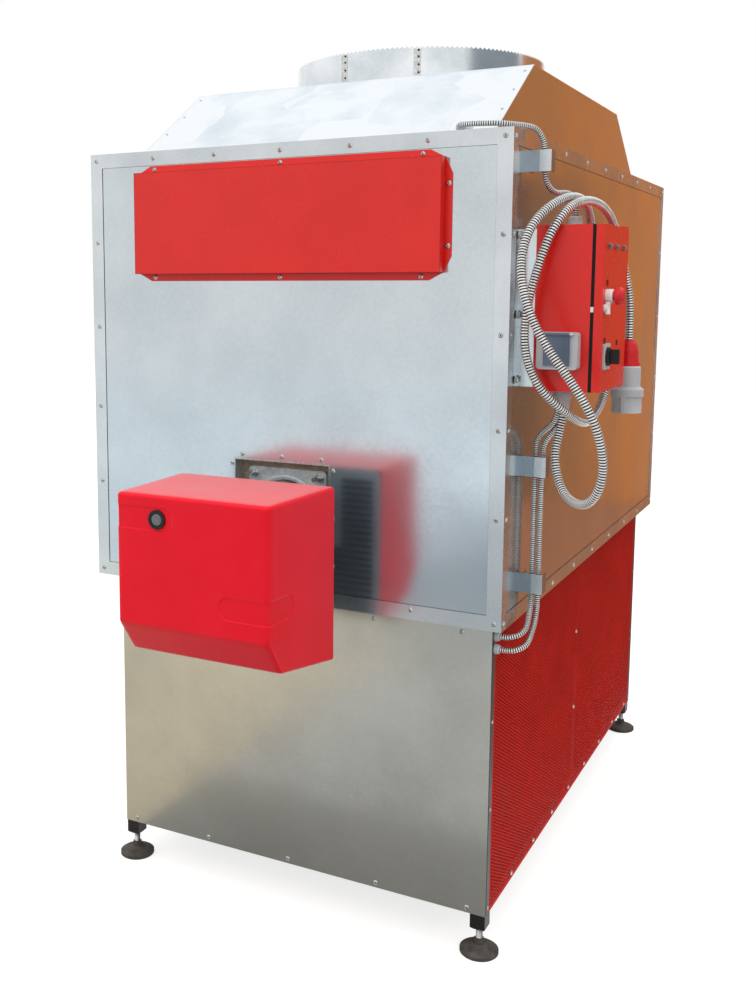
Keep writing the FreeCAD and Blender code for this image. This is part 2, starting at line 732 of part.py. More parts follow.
def casing_corner_angles():
    angles = []
    low, high = S.casing_foot + S.angle_leg, casing_top - S.angle_leg
    for side in (-1, 1):
        for end in (-1, 1):
            outer_x, outer_y = half_width * side, half_depth * end
            inner_x, inner_y = panel_half_width * side, panel_half_depth * end
            edge_x, edge_y = (half_width - S.angle_leg) * side, (half_depth - S.angle_leg) * end
            loop = [
                (outer_x, outer_y), (outer_x, edge_y), (inner_x, edge_y), (inner_x, inner_y),
                (edge_x, inner_y), (edge_x, outer_y),
            ]
            angles.append(pad(new_body("corner_angle"), "XY", [loop], low, high))
    group("casing_corner_angles", angles)


def casing_panels():
    sheet_outline = rect(-panel_half_width, panel_half_width, panel_foot, panel_head)
    port = rect(-S.port_width / 2, S.port_width / 2, burner_height - S.port_height / 2,
                burner_height + S.port_height / 2)
    front = new_body("casing_front_panel")
    keep("casing_front_panel", pad(front, "XZ", [sheet_outline, port], -panel_half_depth, -inner_half_depth))
    flue = Round(0, flue_height, S.flue_radius + S.running_gap)
    rear = new_body("casing_rear_panel")
    keep("casing_rear_panel", pad(rear, "XZ", [sheet_outline, flue], inner_half_depth, panel_half_depth))
    sides = []
    for side in (-1, 1):
        x0, x1 = mirrored(inner_half_width, panel_half_width, side)
        loop = rect(-inner_half_depth, inner_half_depth, panel_foot, panel_head)
        sides.append(pad(new_body("casing_side_panel"), "YZ", [loop], x0, x1))
    group("casing_side_panels", sides)


def casing_decks():
    outline = rect(-inner_half_width, inner_half_width, -inner_half_depth, inner_half_depth)
    hole_x, hole_y = hood_half_width - S.hood_flange, hood_foot - S.hood_flange
    hood_hole = rect(-hole_x, hole_x, -hole_y, hole_y)
    top = new_body("casing_top_deck")
    keep("casing_top_deck", pad(top, "XY", [outline, hood_hole], panel_head - S.panel_sheet, panel_head))
    half_scroll = S.scroll_width / 2 - S.scroll_sheet
    blast = rect(-half_scroll, half_scroll, S.scroll_sheet, scroll_right() - S.scroll_sheet)
    deck = new_body("fan_deck")
    keep("fan_deck", pad(deck, "XY", [outline, blast], panel_foot, deck_top))


# Hood and outlet


def hood():
    half_hood, foot, head = hood_half_width, hood_foot, hood_head
    sides = []
    for side in (-1, 1):
        loop = [(-foot, panel_head), (foot, panel_head), (head, hood_top), (-head, hood_top)]
        x0, x1 = mirrored(half_hood - S.panel_sheet, half_hood, side)
        sides.append(pad(new_body("hood_side"), "YZ", [loop], x0, x1))
    group("hood_side_sheets", sides)
    lean = S.hood_lean / S.hood_rise
    run = S.panel_sheet * 2
    slopes = []
    for end in (-1, 1):
        loop = [
            ((foot + S.hood_flange) * end, panel_head), ((foot - run) * end, panel_head),
            ((head - run) * end, hood_top), (head * end, hood_top),
            ((foot - lean * S.panel_sheet) * end, panel_head + S.panel_sheet),
            ((foot + S.hood_flange) * end, panel_head + S.panel_sheet),
        ]
        inside = half_hood - S.panel_sheet
        slopes.append(pad(new_body("hood_slope"), "YZ", [loop], -inside, inside))
    group("hood_slope_sheets", slopes)
    plate = new_body("hood_top_plate")
    opening = Round(0, 0, S.collar_radius - S.panel_sheet)
    pad(plate, "XY", [rect(-half_hood, half_hood, -head, head), opening], hood_top, hood_top + S.panel_sheet)
    keep("hood_top_plate", plate)
    inner = S.collar_radius - S.panel_sheet
    collar = turned(new_body("outlet_collar"), [
        (inner, 0), (S.collar_radius + S.hood_flange, 0), (S.collar_radius + S.hood_flange, S.panel_sheet),
        (S.collar_radius, S.panel_sheet), (S.collar_radius, S.collar_height), (inner, S.collar_height),
    ])
    keep("outlet_collar", place(collar, 0, 0, hood_top + S.panel_sheet))


def fascia_plate():
    """A folded tray in front of the panel, with a flange cut short at each end of its four sides."""
    body = new_body("fascia_plate")
    half, tall = S.fascia_width / 2, S.fascia_height / 2
    low, high = fascia_middle - tall, fascia_middle + tall
    face = -panel_half_depth
    pad(body, "XZ", [rect(-half, half, low, high)], face - S.fascia_rise, face)
    inside = rect(S.panel_sheet - half, half - S.panel_sheet, low + S.panel_sheet, high - S.panel_sheet)
    pocket(body, "XZ", [inside], face - S.fascia_rise + S.panel_sheet, face)
    long_edge, short_edge = half - S.fascia_end_cut, tall - S.fascia_side_cut
    for end in (-1, 1):
        edge = fascia_middle + tall * end
        outer = fascia_middle + (tall + S.fascia_flange) * end
        loop = [(-half, edge), (half, edge), (long_edge, outer), (-long_edge, outer)]
        pad(body, "XZ", [loop], face - S.panel_sheet, face)
        edge, outer = half * end, (half + S.fascia_flange) * end
        loop = [(edge, low), (edge, high), (outer, fascia_middle + short_edge),
                (outer, fascia_middle - short_edge)]
        pad(body, "XZ", [loop], face - S.panel_sheet, face)
    keep("fascia_plate", body)


# Combustion chamber and heat exchanger


def chamber():
    body = new_body("combustion_chamber")
    half = S.chamber_radius + 4
    plate = rect(-half, half, burner_height - half, burner_height + half)
    hole = Round(0, burner_height, S.tube_radius + S.running_gap)
    pad(body, "XZ", [plate, hole], -chamber_face, S.face_plate - chamber_face)
    drum = [Round(0, burner_height, S.chamber_radius),
            Round(0, burner_height, S.chamber_radius - S.chamber_wall)]
    pad(body, "XZ", drum, S.face_plate - chamber_face, S.box_face)
    keep("combustion_chamber", body)


def tube_places():
    """Middles of the exchanger tubes: two banks of two rows."""
    columns = range(-2, 3)
    rows = []
    for low, high in ((bank_low, bank_split), (bank_split, bank_high)):
        rows += [low + (high - low) * 0.28, low + (high - low) * 0.72]
    return [[(S.exchanger_pitch * column, row) for column in columns] for row in rows]


def exchanger():
    rows = tube_places()
    tubes = []
    for row in rows:
        for x, z in row:
            loops = [Round(x, z, S.exchanger_radius), Round(x, z, S.exchanger_radius - S.exchanger_wall)]
            tubes.append(pad(new_body("exchanger_tube"), "XZ", loops, -S.box_face, S.box_face))
    group("exchanger_tubes", tubes)
    half, wall = S.smoke_box_width / 2, S.chamber_wall
    deep = S.box_face + S.smoke_box_depth

    def smoke_box(name, low, high, openings, end):
        """A box open to the tubes on its inner face, seen from the cabinet's middle."""
        body = new_body(name)
        y0, y1 = mirrored(S.box_face + wall, deep - wall, end)
        pad(body, "XZ", square_ring(-half, half, low, high, wall), y0, y1)
        y0, y1 = mirrored(S.box_face, S.box_face + wall, end)
        pad(body, "XZ", [rect(-half, half, low, high)] + openings, y0, y1)
        return body

    def ways(tube_rows):
        inside = S.exchanger_radius - S.exchanger_wall
        return [Round(x, z, inside) for row in tube_rows for x, z in row]

    drum_way = Round(0, burner_height, S.chamber_radius - S.chamber_wall)
    rear = smoke_box("rear_turning_box", deck_top, bank_split, ways(rows[:2]) + [drum_way], 1)
    pad(rear, "XZ", [rect(-half, half, deck_top, bank_split)], deep - wall, deep)
    front = smoke_box("front_turning_box", bank_low, bank_high, ways(rows), -1)
    pad(front, "XZ", [rect(-half, half, bank_low, bank_high)], -deep, wall - deep)
    group("turning_boxes", [rear, front])
    collector = smoke_box("flue_collector", bank_split, bank_high, ways(rows[2:]), 1)
    flue_way = Round(0, flue_height, S.flue_radius - wall)
    outline = rect(-half, half, bank_split, bank_high)
    pad(collector, "XZ", [outline, flue_way], deep - wall, deep)
    keep("flue_collector", collector)
    length = half_depth + S.flue_reach - deep
    bead_at, bead = half_depth - deep, S.flue_radius + S.flue_bead
    spigot = turned(new_body("flue_spigot"), [
        (S.flue_radius - wall, 0), (S.flue_radius, 0), (S.flue_radius, bead_at), (bead, bead_at + 2),
        (bead, bead_at + 6), (S.flue_radius, bead_at + 8), (S.flue_radius, length),
        (S.flue_radius - wall, length),
    ])
    keep("flue_spigot", place(spigot, 0, deep, flue_height, "Y"))


# Fan in the base


def scroll_right():
    """How far the scroll's last quarter reaches to the rear of the fan axis."""
    return S.scroll_step + S.scroll_radius + S.scroll_step * 2


def fan_axis_height():
    return rail_top + S.scroll_radius + S.scroll_step


def fan_scroll():
    """Three quarter arcs of growing radius, then straight up to the deck."""
    step, first = float(S.scroll_step), float(S.scroll_radius)
    axis_z, head = float(fan_axis_height()), float(panel_foot)
    sheet_wall, width = float(S.scroll_sheet), float(S.scroll_width)

    def outline(x, inset, top):
        edges = []
        centre, radius, angle = Vector(x, 0, axis_z), first - inset, 90
        for move in (Vector(0, step, 0), Vector(0, 0, step), Vector()):
            points = []
            for turn in (0, 45, 90):
                around = math.radians(angle + turn)
                points.append(centre + Vector(0, math.cos(around), math.sin(around)) * radius)
            edges.append(Part.Arc(*points).toShape())
            last = points[-1]
            centre, radius, angle = centre + move, radius + step, angle + 90
        tongue = Vector(x, inset, axis_z + first - inset)
        corners = [last, Vector(x, last.y, top), Vector(x, inset, top), tongue]
        if inset:
            corners.append(Vector(x, 0, axis_z + first - inset))
        edges += [Part.LineSegment(a, b).toShape() for a, b in zip(corners, corners[1:])]
        return Part.Face(Part.Wire(Part.__sortEdges__(edges)))

    side = width / 2
    shell = outline(-side, 0, head).extrude(Vector(width, 0, 0))
    room = outline(sheet_wall - side, sheet_wall, head + sheet_wall)
    room = room.extrude(Vector(width - 2 * sheet_wall, 0, 0))
    inlet = Part.makeCylinder(float(S.inlet_radius), width, Vector(0, 0, axis_z), Vector(1, 0, 0))
    shaft_room = float(S.hub_radius + S.motor_gap / 2)
    shaft_way = Part.makeCylinder(shaft_room, width, Vector(-width, 0, axis_z), Vector(1, 0, 0))
    scroll = shell.cut(room).cut(inlet).cut(shaft_way)
    shaped("fan_scroll", scroll)


def fan_wheel():
    """Drum wheel on its shaft: the body's Z axis is the fan axis, pointing away from the motor."""
    body = new_body("fan_wheel")
    back = -S.wheel_width / 2
    shaft_end = -S.scroll_width / 2 - S.motor_gap - S.shaft_grip
    turned(body, [
        (0, shaft_end), (S.shaft_radius, shaft_end), (S.shaft_radius, back - 20),
        (S.hub_radius, back - 20), (S.hub_radius, back), (S.wheel_radius, back),
        (S.wheel_radius, back + S.wheel_plate), (S.hub_radius, back + S.wheel_plate),
        (S.hub_radius, back + 60), (0, back + 60),
    ])
    inner, outer = S.wheel_radius - S.blade_depth, S.wheel_radius
    curl = S.blade_depth / 2
    blade = [
        (inner, 0), (outer - curl, curl * 0.4), (outer - 1, curl), (outer - 1, curl + S.blade_sheet),
        (outer - curl, curl * 0.4 + S.blade_sheet), (inner, S.blade_sheet),
    ]
    pad(body, "XY", [blade], back + S.wheel_plate - 1, S.wheel_width / 2)
    doc.recompute()
    first_blade = body.Tip
    pattern = body.newObject("PartDesign::PolarPattern", "blades")
    pattern.Originals = [first_blade]
    axis = next(item for item in body.Origin.OriginFeatures if item.Role == "Z_Axis")
    pattern.Axis = (axis, [""])
    pattern.Angle = 360
    pattern.setExpression("Occurrences", S.blade_count.text)
    body.Tip = pattern
    rim = [Round(0, 0, S.wheel_radius), Round(0, 0, S.wheel_radius - S.blade_depth)]
    pad(body, "XY", rim, S.wheel_width / 2 - S.wheel_plate, S.wheel_width / 2)
    keep("fan_wheel", place(body, 0, 0, fan_axis_height(), "X"))


def fan_motor():
    body = new_body("fan_motor")
    axis_z = fan_axis_height()
    near = -S.scroll_width / 2 - S.motor_gap
    far = near - motor_length
    pad(body, "YZ", [Round(0, axis_z, S.motor_radius)], far, near)
    stand = S.motor_rail_spacing / 2 + S.tube_side / 2
    neck = S.motor_radius * 0.6
    loop = [(-stand, rail_top), (stand, rail_top), (neck, axis_z - neck), (-neck, axis_z - neck)]
    pad(body, "YZ", [loop], far + 30, near - 30)
    box = rect(-S.motor_radius * 0.5, S.motor_radius * 0.5, axis_z + S.motor_radius * 0.7,
               axis_z + S.motor_radius + 45)
    pad(body, "YZ", [box], far + 70, near - 60)
    bore = Round(0, axis_z, S.shaft_radius + S.running_gap)
    pocket(body, "YZ", [bore], near - S.shaft_grip - 1, near)
    keep("fan_motor", body)


# Burner


def burner_mounting():
    frame = new_body("burner_port_frame")
    half, tall, middle = S.port_width / 2, S.port_height / 2, burner_height
    sleeve = [
        rect(-half - S.angle_sheet, half + S.angle_sheet, middle - tall - S.angle_sheet,
             middle + tall + S.angle_sheet),
        rect(-half, half, middle - tall, middle + tall),
    ]
    pad(frame, "XZ", sleeve, -inner_half_depth, -chamber_face)
    rim = [
        rect(-half - S.port_flange, half + S.port_flange, middle - tall - S.port_flange,
             middle + tall + S.port_flange),
        rect(-half, half, middle - tall, middle + tall),
    ]
    pad(frame, "XZ", rim, -inner_half_depth, S.angle_sheet - inner_half_depth)
    keep("burner_port_frame", frame)
    flange = new_body("burner_flange")
    side, reach = S.flange_side / 2, S.stud_spacing / 2
    holes = [Round(reach * i, middle + reach * j, S.stud_thread + S.running_gap)
             for i in (-1, 1) for j in (-1, 1)]
    loops = [rect(-side, side, middle - side, middle + side), Round(0, middle, S.tube_radius)] + holes
    pad(flange, "XZ", loops, -chamber_face - S.flange_plate, -chamber_face)
    dress(flange, "PartDesign::Fillet", S.flange_plate,
          lambda point, edge: abs(edge.tangentAt(edge.FirstParameter).y) > 0.9)
    keep("burner_flange", flange)
    studs = []
    for i in (-1, 1):
        for j in (-1, 1):
            stud = turned(new_body("flange_stud"), [
                (0, 0), (S.stud_thread, 0), (S.stud_thread, S.flange_plate),
                (S.stud_thread * 2, S.flange_plate), (S.stud_thread * 2, S.flange_plate + 2),
                (S.stud_thread, S.flange_plate + 2), (S.stud_thread, S.stud_reach), (0, S.stud_reach),
            ])
            nut = hexagon(0, 0, S.stud_thread * 1.85)
            pad(stud, "XY", [nut], S.flange_plate + 2, S.flange_plate + 12)
            studs.append(place(stud, reach * i, -chamber_face, middle + reach * j, "-Y"))
    group("flange_studs", studs)
    length = burner_rear - chamber_face + S.blast_reach
    tube = turned(new_body("blast_tube"), [
        (S.tube_radius - S.blast_wall, 0), (S.tube_radius, 0), (S.tube_radius, length),
        (S.tube_radius - S.blast_wall, length),
    ])
    keep("blast_tube", place(tube, 0, -burner_rear, middle, "Y"))


def gas_inlet():
    """Tapped socket on the left of the blast tube, saddled to its round wall."""
    reach, setback = float(S.gas_reach), float(S.gas_setback)
    axis_y, axis_z = -float(half_depth) - setback, float(burner_height)
    start = Vector(-reach, axis_y, axis_z)
    socket = Part.makeCylinder(float(S.gas_radius), reach, start, Vector(1, 0, 0))
    tapping = Part.makeCylinder(float(S.gas_bore), float(S.gas_thread), start, Vector(1, 0, 0))
    wall = Part.makeCylinder(float(S.tube_radius), 4 * setback, Vector(0, axis_y - 2 * setback, axis_z),
                             Vector(0, 1, 0))
    shaped("gas_inlet", socket.cut(tapping).cut(wall))


def burner_back_plate():
    body = new_body("burner_back_plate")
    half = S.cover_width / 2 - 1
    loops = [rect(-half, half, cover_bottom + 1, cover_top - 1), Round(0, burner_height, S.tube_radius)]
    pad(body, "XZ", loops, -burner_rear, S.back_plate - burner_rear)
    dress(body, "PartDesign::Fillet", S.cover_round,
          lambda point, edge: abs(edge.tangentAt(edge.FirstParameter).y) > 0.9)
    keep("burner_back_plate", body)


def cover_form(name, wall, overlap):
    """The burner cover's outside; with a wall given, the room inside it, which overlaps its open rear."""
    body = new_body(name)
    rear, front = overlap - burner_rear, wall - burner_front
    low_front = cover_bottom + S.cover_front_rise + wall
    top = cover_top - wall
    side_profile = [
        (rear, cover_bottom + wall), (front + S.cover_chamfer_depth, low_front),
        (front, low_front + S.cover_chamfer_height), (front, top), (rear, top),
    ]
    half_rear, half_front = S.cover_width / 2 - wall, S.cover_front_width / 2 - wall
    pad(body, "YZ", [side_profile], -half_rear, half_rear)
    taper, past = (half_rear - half_front) * 0.1, (rear - front) * 0.1
    for side in (-1, 1):
        wedge = [
            ((half_rear + taper) * side, rear + past), ((half_front - taper) * side, front - past),
            (S.cover_width * side, front - past), (S.cover_width * side, rear + past),
        ]
        pocket(body, "XY", [wedge], cover_bottom - wall, cover_top + wall + 1)
    rear_edge = float(rear) - 1
    dress(body, "PartDesign::Fillet", S.cover_round - wall, lambda point, edge: point.y < rear_edge)
    return body


def burner_cover():
    """Moulded cover: tapering, with a sloping lower front, rounded edges and two recesses in its face."""
    outside = cover_form("cover_outside", 0, 0)
    reset_x, reset_z = -S.reset_offset, reset_height
    face = -burner_front
    floor = face + S.recess_depth
    badge_round = S.badge_height / 2
    badge_middle = badge_foot + badge_round
    for end, middle, radius, edge in (
        (S.reset_end, reset_z, S.reset_recess, -S.cover_width),
        (S.badge_left + badge_round, badge_middle, badge_round, S.cover_width),
    ):
        pocket(outside, "XZ", [rect(end, edge, middle - radius, middle + radius)], face, floor)
        pocket(outside, "XZ", [Round(end, middle, radius)], face, floor)
    way = Round(reset_x, reset_z, S.reset_radius + S.running_gap)
    pocket(outside, "XZ", [way], face, face + S.cover_wall * 2)
    cover = doc.addObject("Part::Cut", "burner_cover")
    cover.Base = outside
    cover.Tool = cover_form("cover_inside", S.cover_wall, 1)
    keep("burner_cover", cover)
    ring = turned(new_body("reset_bezel"), [
        (S.reset_radius + S.running_gap, 0), (S.bezel_radius, 0), (S.bezel_radius, S.bezel_rise - 1),
        (S.bezel_radius - 1, S.bezel_rise), (S.reset_radius + S.running_gap, S.bezel_rise),
    ])
    keep("reset_bezel", place(ring, reset_x, floor, reset_z, "-Y"))
    inside = S.cover_wall + S.reset_travel * 2
    button = turned(new_body("reset_button"), [
        (0, -inside), (S.reset_radius, -inside), (S.reset_radius, S.bezel_rise - 2),
        (S.reset_radius - 2, S.bezel_rise - 0.5), (0, S.bezel_rise),
    ])
    keep("reset_button", place(button, reset_x, floor, reset_z, "-Y"))


# Control box


def box_brackets():
    brackets = []
    wall = panel_half_width
    for near, way in ((box_near, 1), (box_far, -1)):
        web = near + 2 * way
        loop = [
            (wall, web - S.bracket_flange * way), (wall, web + S.bracket_sheet * way),
            (box_back - S.bracket_sheet, web + S.bracket_sheet * way),
            (box_back - S.bracket_sheet, web + S.bracket_tongue * way),
            (box_back, web + S.bracket_tongue * way), (box_back, web),
            (wall + S.bracket_sheet, web), (wall + S.bracket_sheet, web - S.bracket_flange * way),
        ]
        low, high = box_foot + S.bracket_inset, box_head - S.bracket_inset
        brackets.append(pad(new_body("box_bracket"), "XY", [loop], low, high))
    group("box_brackets", brackets)


def hinge_place():
    """Axis of the door hinge: X and Y from the cabinet's middle."""
    return door_back + S.door_depth / 2, box_far + S.hinge_radius - 2


def box_body():
    body = new_body("box_body")
    pad(body, "YZ", [rect(box_near, box_far, box_foot, box_head)], box_back, box_open)
    wall = S.box_sheet
    inside = rect(box_near + wall, box_far - wall, box_foot + wall, box_head - wall)
    pocket(body, "YZ", [inside], box_back + wall, box_open)
    hinge_x, hinge_y = hinge_place()
    lug = rect(hinge_x + S.hinge_radius - S.lug_length, hinge_x + S.hinge_radius, box_far - 20,
               hinge_y + S.hinge_radius)
    pin = Round(hinge_x, hinge_y, S.hinge_pin)
    pad(body, "XY", [lug], box_head, box_head + S.lug_sheet)
    pad(body, "XY", [pin], box_head - S.hinge_pin_length, box_head)
    pad(body, "XY", [lug], box_foot - S.lug_sheet, box_foot)
    pad(body, "XY", [pin], box_foot, box_foot + S.hinge_pin_length)
    keep("box_body", body)


def door_fitting(across, up):
    return box_near + across, box_foot + up


def box_door():
    body = new_body("box_door")
    low, high = box_foot + S.door_gap, box_head - S.door_gap
    pad(body, "YZ", [rect(box_near, box_far, low, high)], door_back, door_face)
    rim = S.gasket_width
    inside = rect(box_near + rim, box_far - rim, low + rim, high - rim)
    pocket(body, "YZ", [inside], door_back, door_face - S.box_sheet)
    hinge_x, hinge_y = hinge_place()
    pad(body, "XY", [Round(hinge_x, hinge_y, S.hinge_radius)], low, high)
    bore = Round(hinge_x, hinge_y, S.hinge_pin + S.running_gap)
    pin_room = S.hinge_pin_length + 1
    pocket(body, "XY", [bore], low, low + pin_room)
    pocket(body, "XY", [bore], high - pin_room, high)
    holes = []
    for across, up, radius in (
        (S.stop_across, S.stop_up, S.stop_stem), (S.start_across, S.start_up, S.start_radius),
        (S.lock_across, S.lock_up, S.lock_stem),
    ):
        y, z = door_fitting(across, up)
        holes.append(Round(y, z, radius + S.running_gap))
    pocket(body, "YZ", holes, door_back, door_face)
    keep("box_door", body)
    gasket = new_body("door_gasket")
    ring = square_ring(box_near, box_far, low, high, S.gasket_width)
    keep("door_gasket", pad(gasket, "YZ", ring, box_open, door_back))


def door_buttons():
    collars = []
    for across, up, radius, rise in (
        (S.stop_across, S.stop_up, S.stop_stem, S.stop_collar_rise),
        (S.start_across, S.start_up, S.start_radius, S.start_collar_rise),
    ):
        y, z = door_fitting(across, up)
        bore = radius + S.running_gap
        collar = turned(new_body("button_collar"), [
            (bore, 0), (radius + 5, 0), (radius + 5, rise - 1), (radius + 4, rise), (bore, rise),
        ])
        collars.append(place(collar, door_face, y, z, "X"))
    group("button_collars", collars)
    y, z = door_fitting(S.stop_across, S.stop_up)
    neck = S.stop_collar_rise + S.stop_travel + S.running_gap
    stop = turned(new_body("stop_button"), [
        (0, -S.stem_inside), (S.stop_stem, -S.stem_inside), (S.stop_stem, neck), (S.stop_head - 2, neck),
        (S.stop_head, neck + 2), (S.stop_head, neck + S.stop_head_rise / 2),
        (S.stop_head - 5, stop_reach - 2), (S.stop_head / 2, stop_reach), (0, stop_reach),
    ])
    keep("stop_button", place(stop, door_face, y, z, "X"))
    y, z = door_fitting(S.start_across, S.start_up)
    start = turned(new_body("start_button"), [
        (0, -S.stem_inside), (S.start_radius, -S.stem_inside), (S.start_radius, S.start_rise - 1),
        (S.start_radius - 1, S.start_rise), (0, S.start_rise),
    ])
    keep("start_button", place(start, door_face, y, z, "X"))


def door_lock():
    """Butterfly handle on a short stem: two wings that widen outwards."""
    y, z = door_fitting(S.lock_across, S.lock_up)
    body = turned(new_body("door_lock"), [
        (0, -S.stem_inside), (S.lock_stem, -S.stem_inside), (S.lock_stem, S.running_gap),
        (S.lock_stem + 4, S.running_gap), (S.lock_stem + 4, 8), (0, 8),
    ])
    span = S.lock_span
    loop = [
        (-span, -span * 0.45), (-span * 0.3, -span * 0.2), (span * 0.3, -span * 0.2), (span, -span * 0.45),
        (span, span * 0.45), (span * 0.3, span * 0.2), (-span * 0.3, span * 0.2), (-span, span * 0.45),
    ]
    pad(body, "XY", [loop], 4, 13)
    dress(body, "PartDesign::Fillet", span * 0.15,
          lambda point, edge: abs(edge.tangentAt(edge.FirstParameter).z) > 0.9 and abs(point.y) > 1)
    keep("door_lock", place(body, door_face, y, z, "X"))


def main_switch():
    y, z = door_fitting(S.switch_across, S.switch_up)
    half = S.switch_side / 2
    plate = new_body("switch_plate")
    bore = Round(0, 0, S.knob_shaft + S.running_gap)
    pad(plate, "XY", [rect(-half, half, -half, half), bore], 0, S.switch_plate_rise)
    dress(plate, "PartDesign::Fillet", S.switch_plate_rise,
          lambda point, edge: abs(edge.tangentAt(edge.FirstParameter).z) > 0.9)
    keep("switch_plate", place(plate, door_face, y, z, "X"))
    rest = S.switch_plate_rise + S.running_gap
    knob = turned(new_body("switch_knob"), [
        (0, 0.3), (S.knob_shaft, 0.3), (S.knob_shaft, rest), (S.knob_radius, rest),
        (S.knob_radius, rest + S.knob_base - 2), (S.knob_radius - 2, rest + S.knob_base),
        (0, rest + S.knob_base),
    ])
    thick, reach = S.knob_grip_width / 2, S.knob_radius - 5
    pad(knob, "XY", [rect(-reach, reach, -thick, thick)], rest + S.knob_base - 1,
        rest + S.knob_base + S.knob_grip)
    dress(knob, "PartDesign::Fillet", thick * 0.6,
          lambda point, edge: abs(edge.tangentAt(edge.FirstParameter).z) > 0.9 and abs(point.y) > 1)
    keep("switch_knob", place(knob, door_face, y, z, "X"))


def pilot_lamps():
    lamps = []
    for number in range(3):
        y, z = door_fitting(S.lamp_across + S.lamp_pitch * number, S.lamp_up)
        lamp = turned(new_body("pilot_lamp"), [
            (0, 0), (S.lamp_radius + 2.5, 0), (S.lamp_radius + 2.5, 2), (S.lamp_radius, 3), (S.lamp_radius, 6),
            (S.lamp_radius * 0.6, 8.5), (0, 9),
        ])
        lamps.append(place(lamp, door_face, y, z, "X"))
    group("pilot_lamps", lamps)


def socket_outlet():
    left = box_back + S.socket_offset
    right = left + S.socket_width
    low = box_foot + S.socket_up
    high = low + S.socket_height
    front = box_near - S.socket_depth
    middle_x, middle_z = (left + right) / 2, (low + high) / 2 - 4
    housing = new_body("socket_housing")
    pad(housing, "XZ", [rect(left, right, low, high)], front, box_near)
    dress(housing, "PartDesign::Fillet", S.lid_ear,
          lambda point, edge: abs(edge.tangentAt(edge.FirstParameter).y) > 0.9)
    pocket(housing, "XZ", [Round(middle_x, middle_z, S.socket_bore)], front, front + S.socket_bore_depth)
    axis_y, axis_z = front - S.lid_barrel - 0.5, high - S.lid_axis_drop
    lid_left, lid_right = middle_x - S.lid_width / 2, middle_x + S.lid_width / 2
    ear = [
        (front, axis_z - S.lid_barrel), (axis_y, axis_z - S.lid_barrel),
        (axis_y - S.lid_barrel, axis_z), (axis_y, axis_z + S.lid_barrel), (front, axis_z + S.lid_barrel),
    ]
    gap = S.running_gap
    pin = Round(axis_y, axis_z, S.lid_pin)
    for x0, x1, way in ((lid_left - gap - S.lid_ear, lid_left - gap, 1),
                        (lid_right + gap, lid_right + gap + S.lid_ear, -1)):
        pad(housing, "YZ", [ear], x0, x1)
        tip = (x1, x1 + S.lid_ear) if way > 0 else (x0 - S.lid_ear, x0)
        pad(housing, "YZ", [pin], *tip)
    keep("socket_housing", housing)
    lid = new_body("socket_lid")
    back = front - gap
    plate = rect(back - S.lid_sheet, back, axis_z - S.lid_height, axis_z - 1)
    pad(lid, "YZ", [plate], lid_left, lid_right)
    pad(lid, "YZ", [Round(axis_y, axis_z, S.lid_barrel)], lid_left, lid_right)
    bore = Round(axis_y, axis_z, S.lid_pin + gap)
    pocket(lid, "YZ", [bore], lid_left, lid_right)
    keep("socket_lid", lid)


# Conduits, glands, clips and plug


def cable_glands():
    """One gland at each conduit end, seated on what the conduit enters and facing along it."""
    ends = (
        (cord_route[0], "-Z", S.gland_radius + 3), (burner_route[0], "-Z", S.gland_radius - 2),
        (motor_route[0], "-Z", S.gland_radius - 2), (sensor_route[-1], "Z", S.gland_radius - 2),
        (burner_route[-1], "X", S.gland_radius - 2), (motor_route[-1], "X", S.gland_radius - 2),
    )
    seats = {"-Z": box_foot, "Z": box_head, "X": base_half_width}
    glands = []
    for mouth, axis, radius in ends:
        length = {"-Z": box_foot - mouth[2], "Z": mouth[2] - box_head, "X": mouth[0] - base_half_width}[axis]
        gland = turned(new_body("cable_gland"), [
            (0, 0), (radius, 0), (radius, length * 0.35), (radius - 1, length * 0.4),
            (radius - 1, length * 0.7), (radius - 4, length), (0, length),
        ])
        x, y, z = mouth
        base = (seats["X"], y, z) if axis == "X" else (x, y, seats[axis])
        glands.append(place(gland, *base, axis))
    sensor = sensor_route[0]
    lean = S.hood_lean / S.hood_rise
    radius = S.gland_radius - 2
    wall = -(hood_foot - lean * (sensor[2] + radius - panel_head))
    boss = pad(new_body("sensor_gland"), "XZ", [Round(sensor[0], sensor[2], radius)], sensor[1], wall + 2)
    slope = [
        (-hood_foot, panel_head), (-hood_head, hood_top),
        (half_depth, hood_top), (half_depth, panel_head),
    ]
    glands.append(pocket(boss, "YZ", [slope], sensor[0] - S.gland_radius, sensor[0] + S.gland_radius))
    group("cable_glands", glands)


def conduit_clips():
    """Channels on the cabinet side that hold the conduits: a web in front and two flanges."""
    clips = []
    wall = panel_half_width
    reach = half_width + S.clip_reach
    for _, front, middle in follow(CLIP_PLACES):
        loop = [
            (wall, front), (reach, front), (reach, front + S.clip_flange),
            (reach - S.angle_sheet, front + S.clip_flange), (reach - S.angle_sheet, front + S.angle_sheet),
            (wall + S.angle_sheet, front + S.angle_sheet), (wall + S.angle_sheet, front + S.clip_flange),
            (wall, front + S.clip_flange),
        ]
        low = middle - S.clip_height / 2
        clips.append(pad(new_body("conduit_clip"), "XY", [loop], low, low + S.clip_height))
    group("conduit_clips", clips)


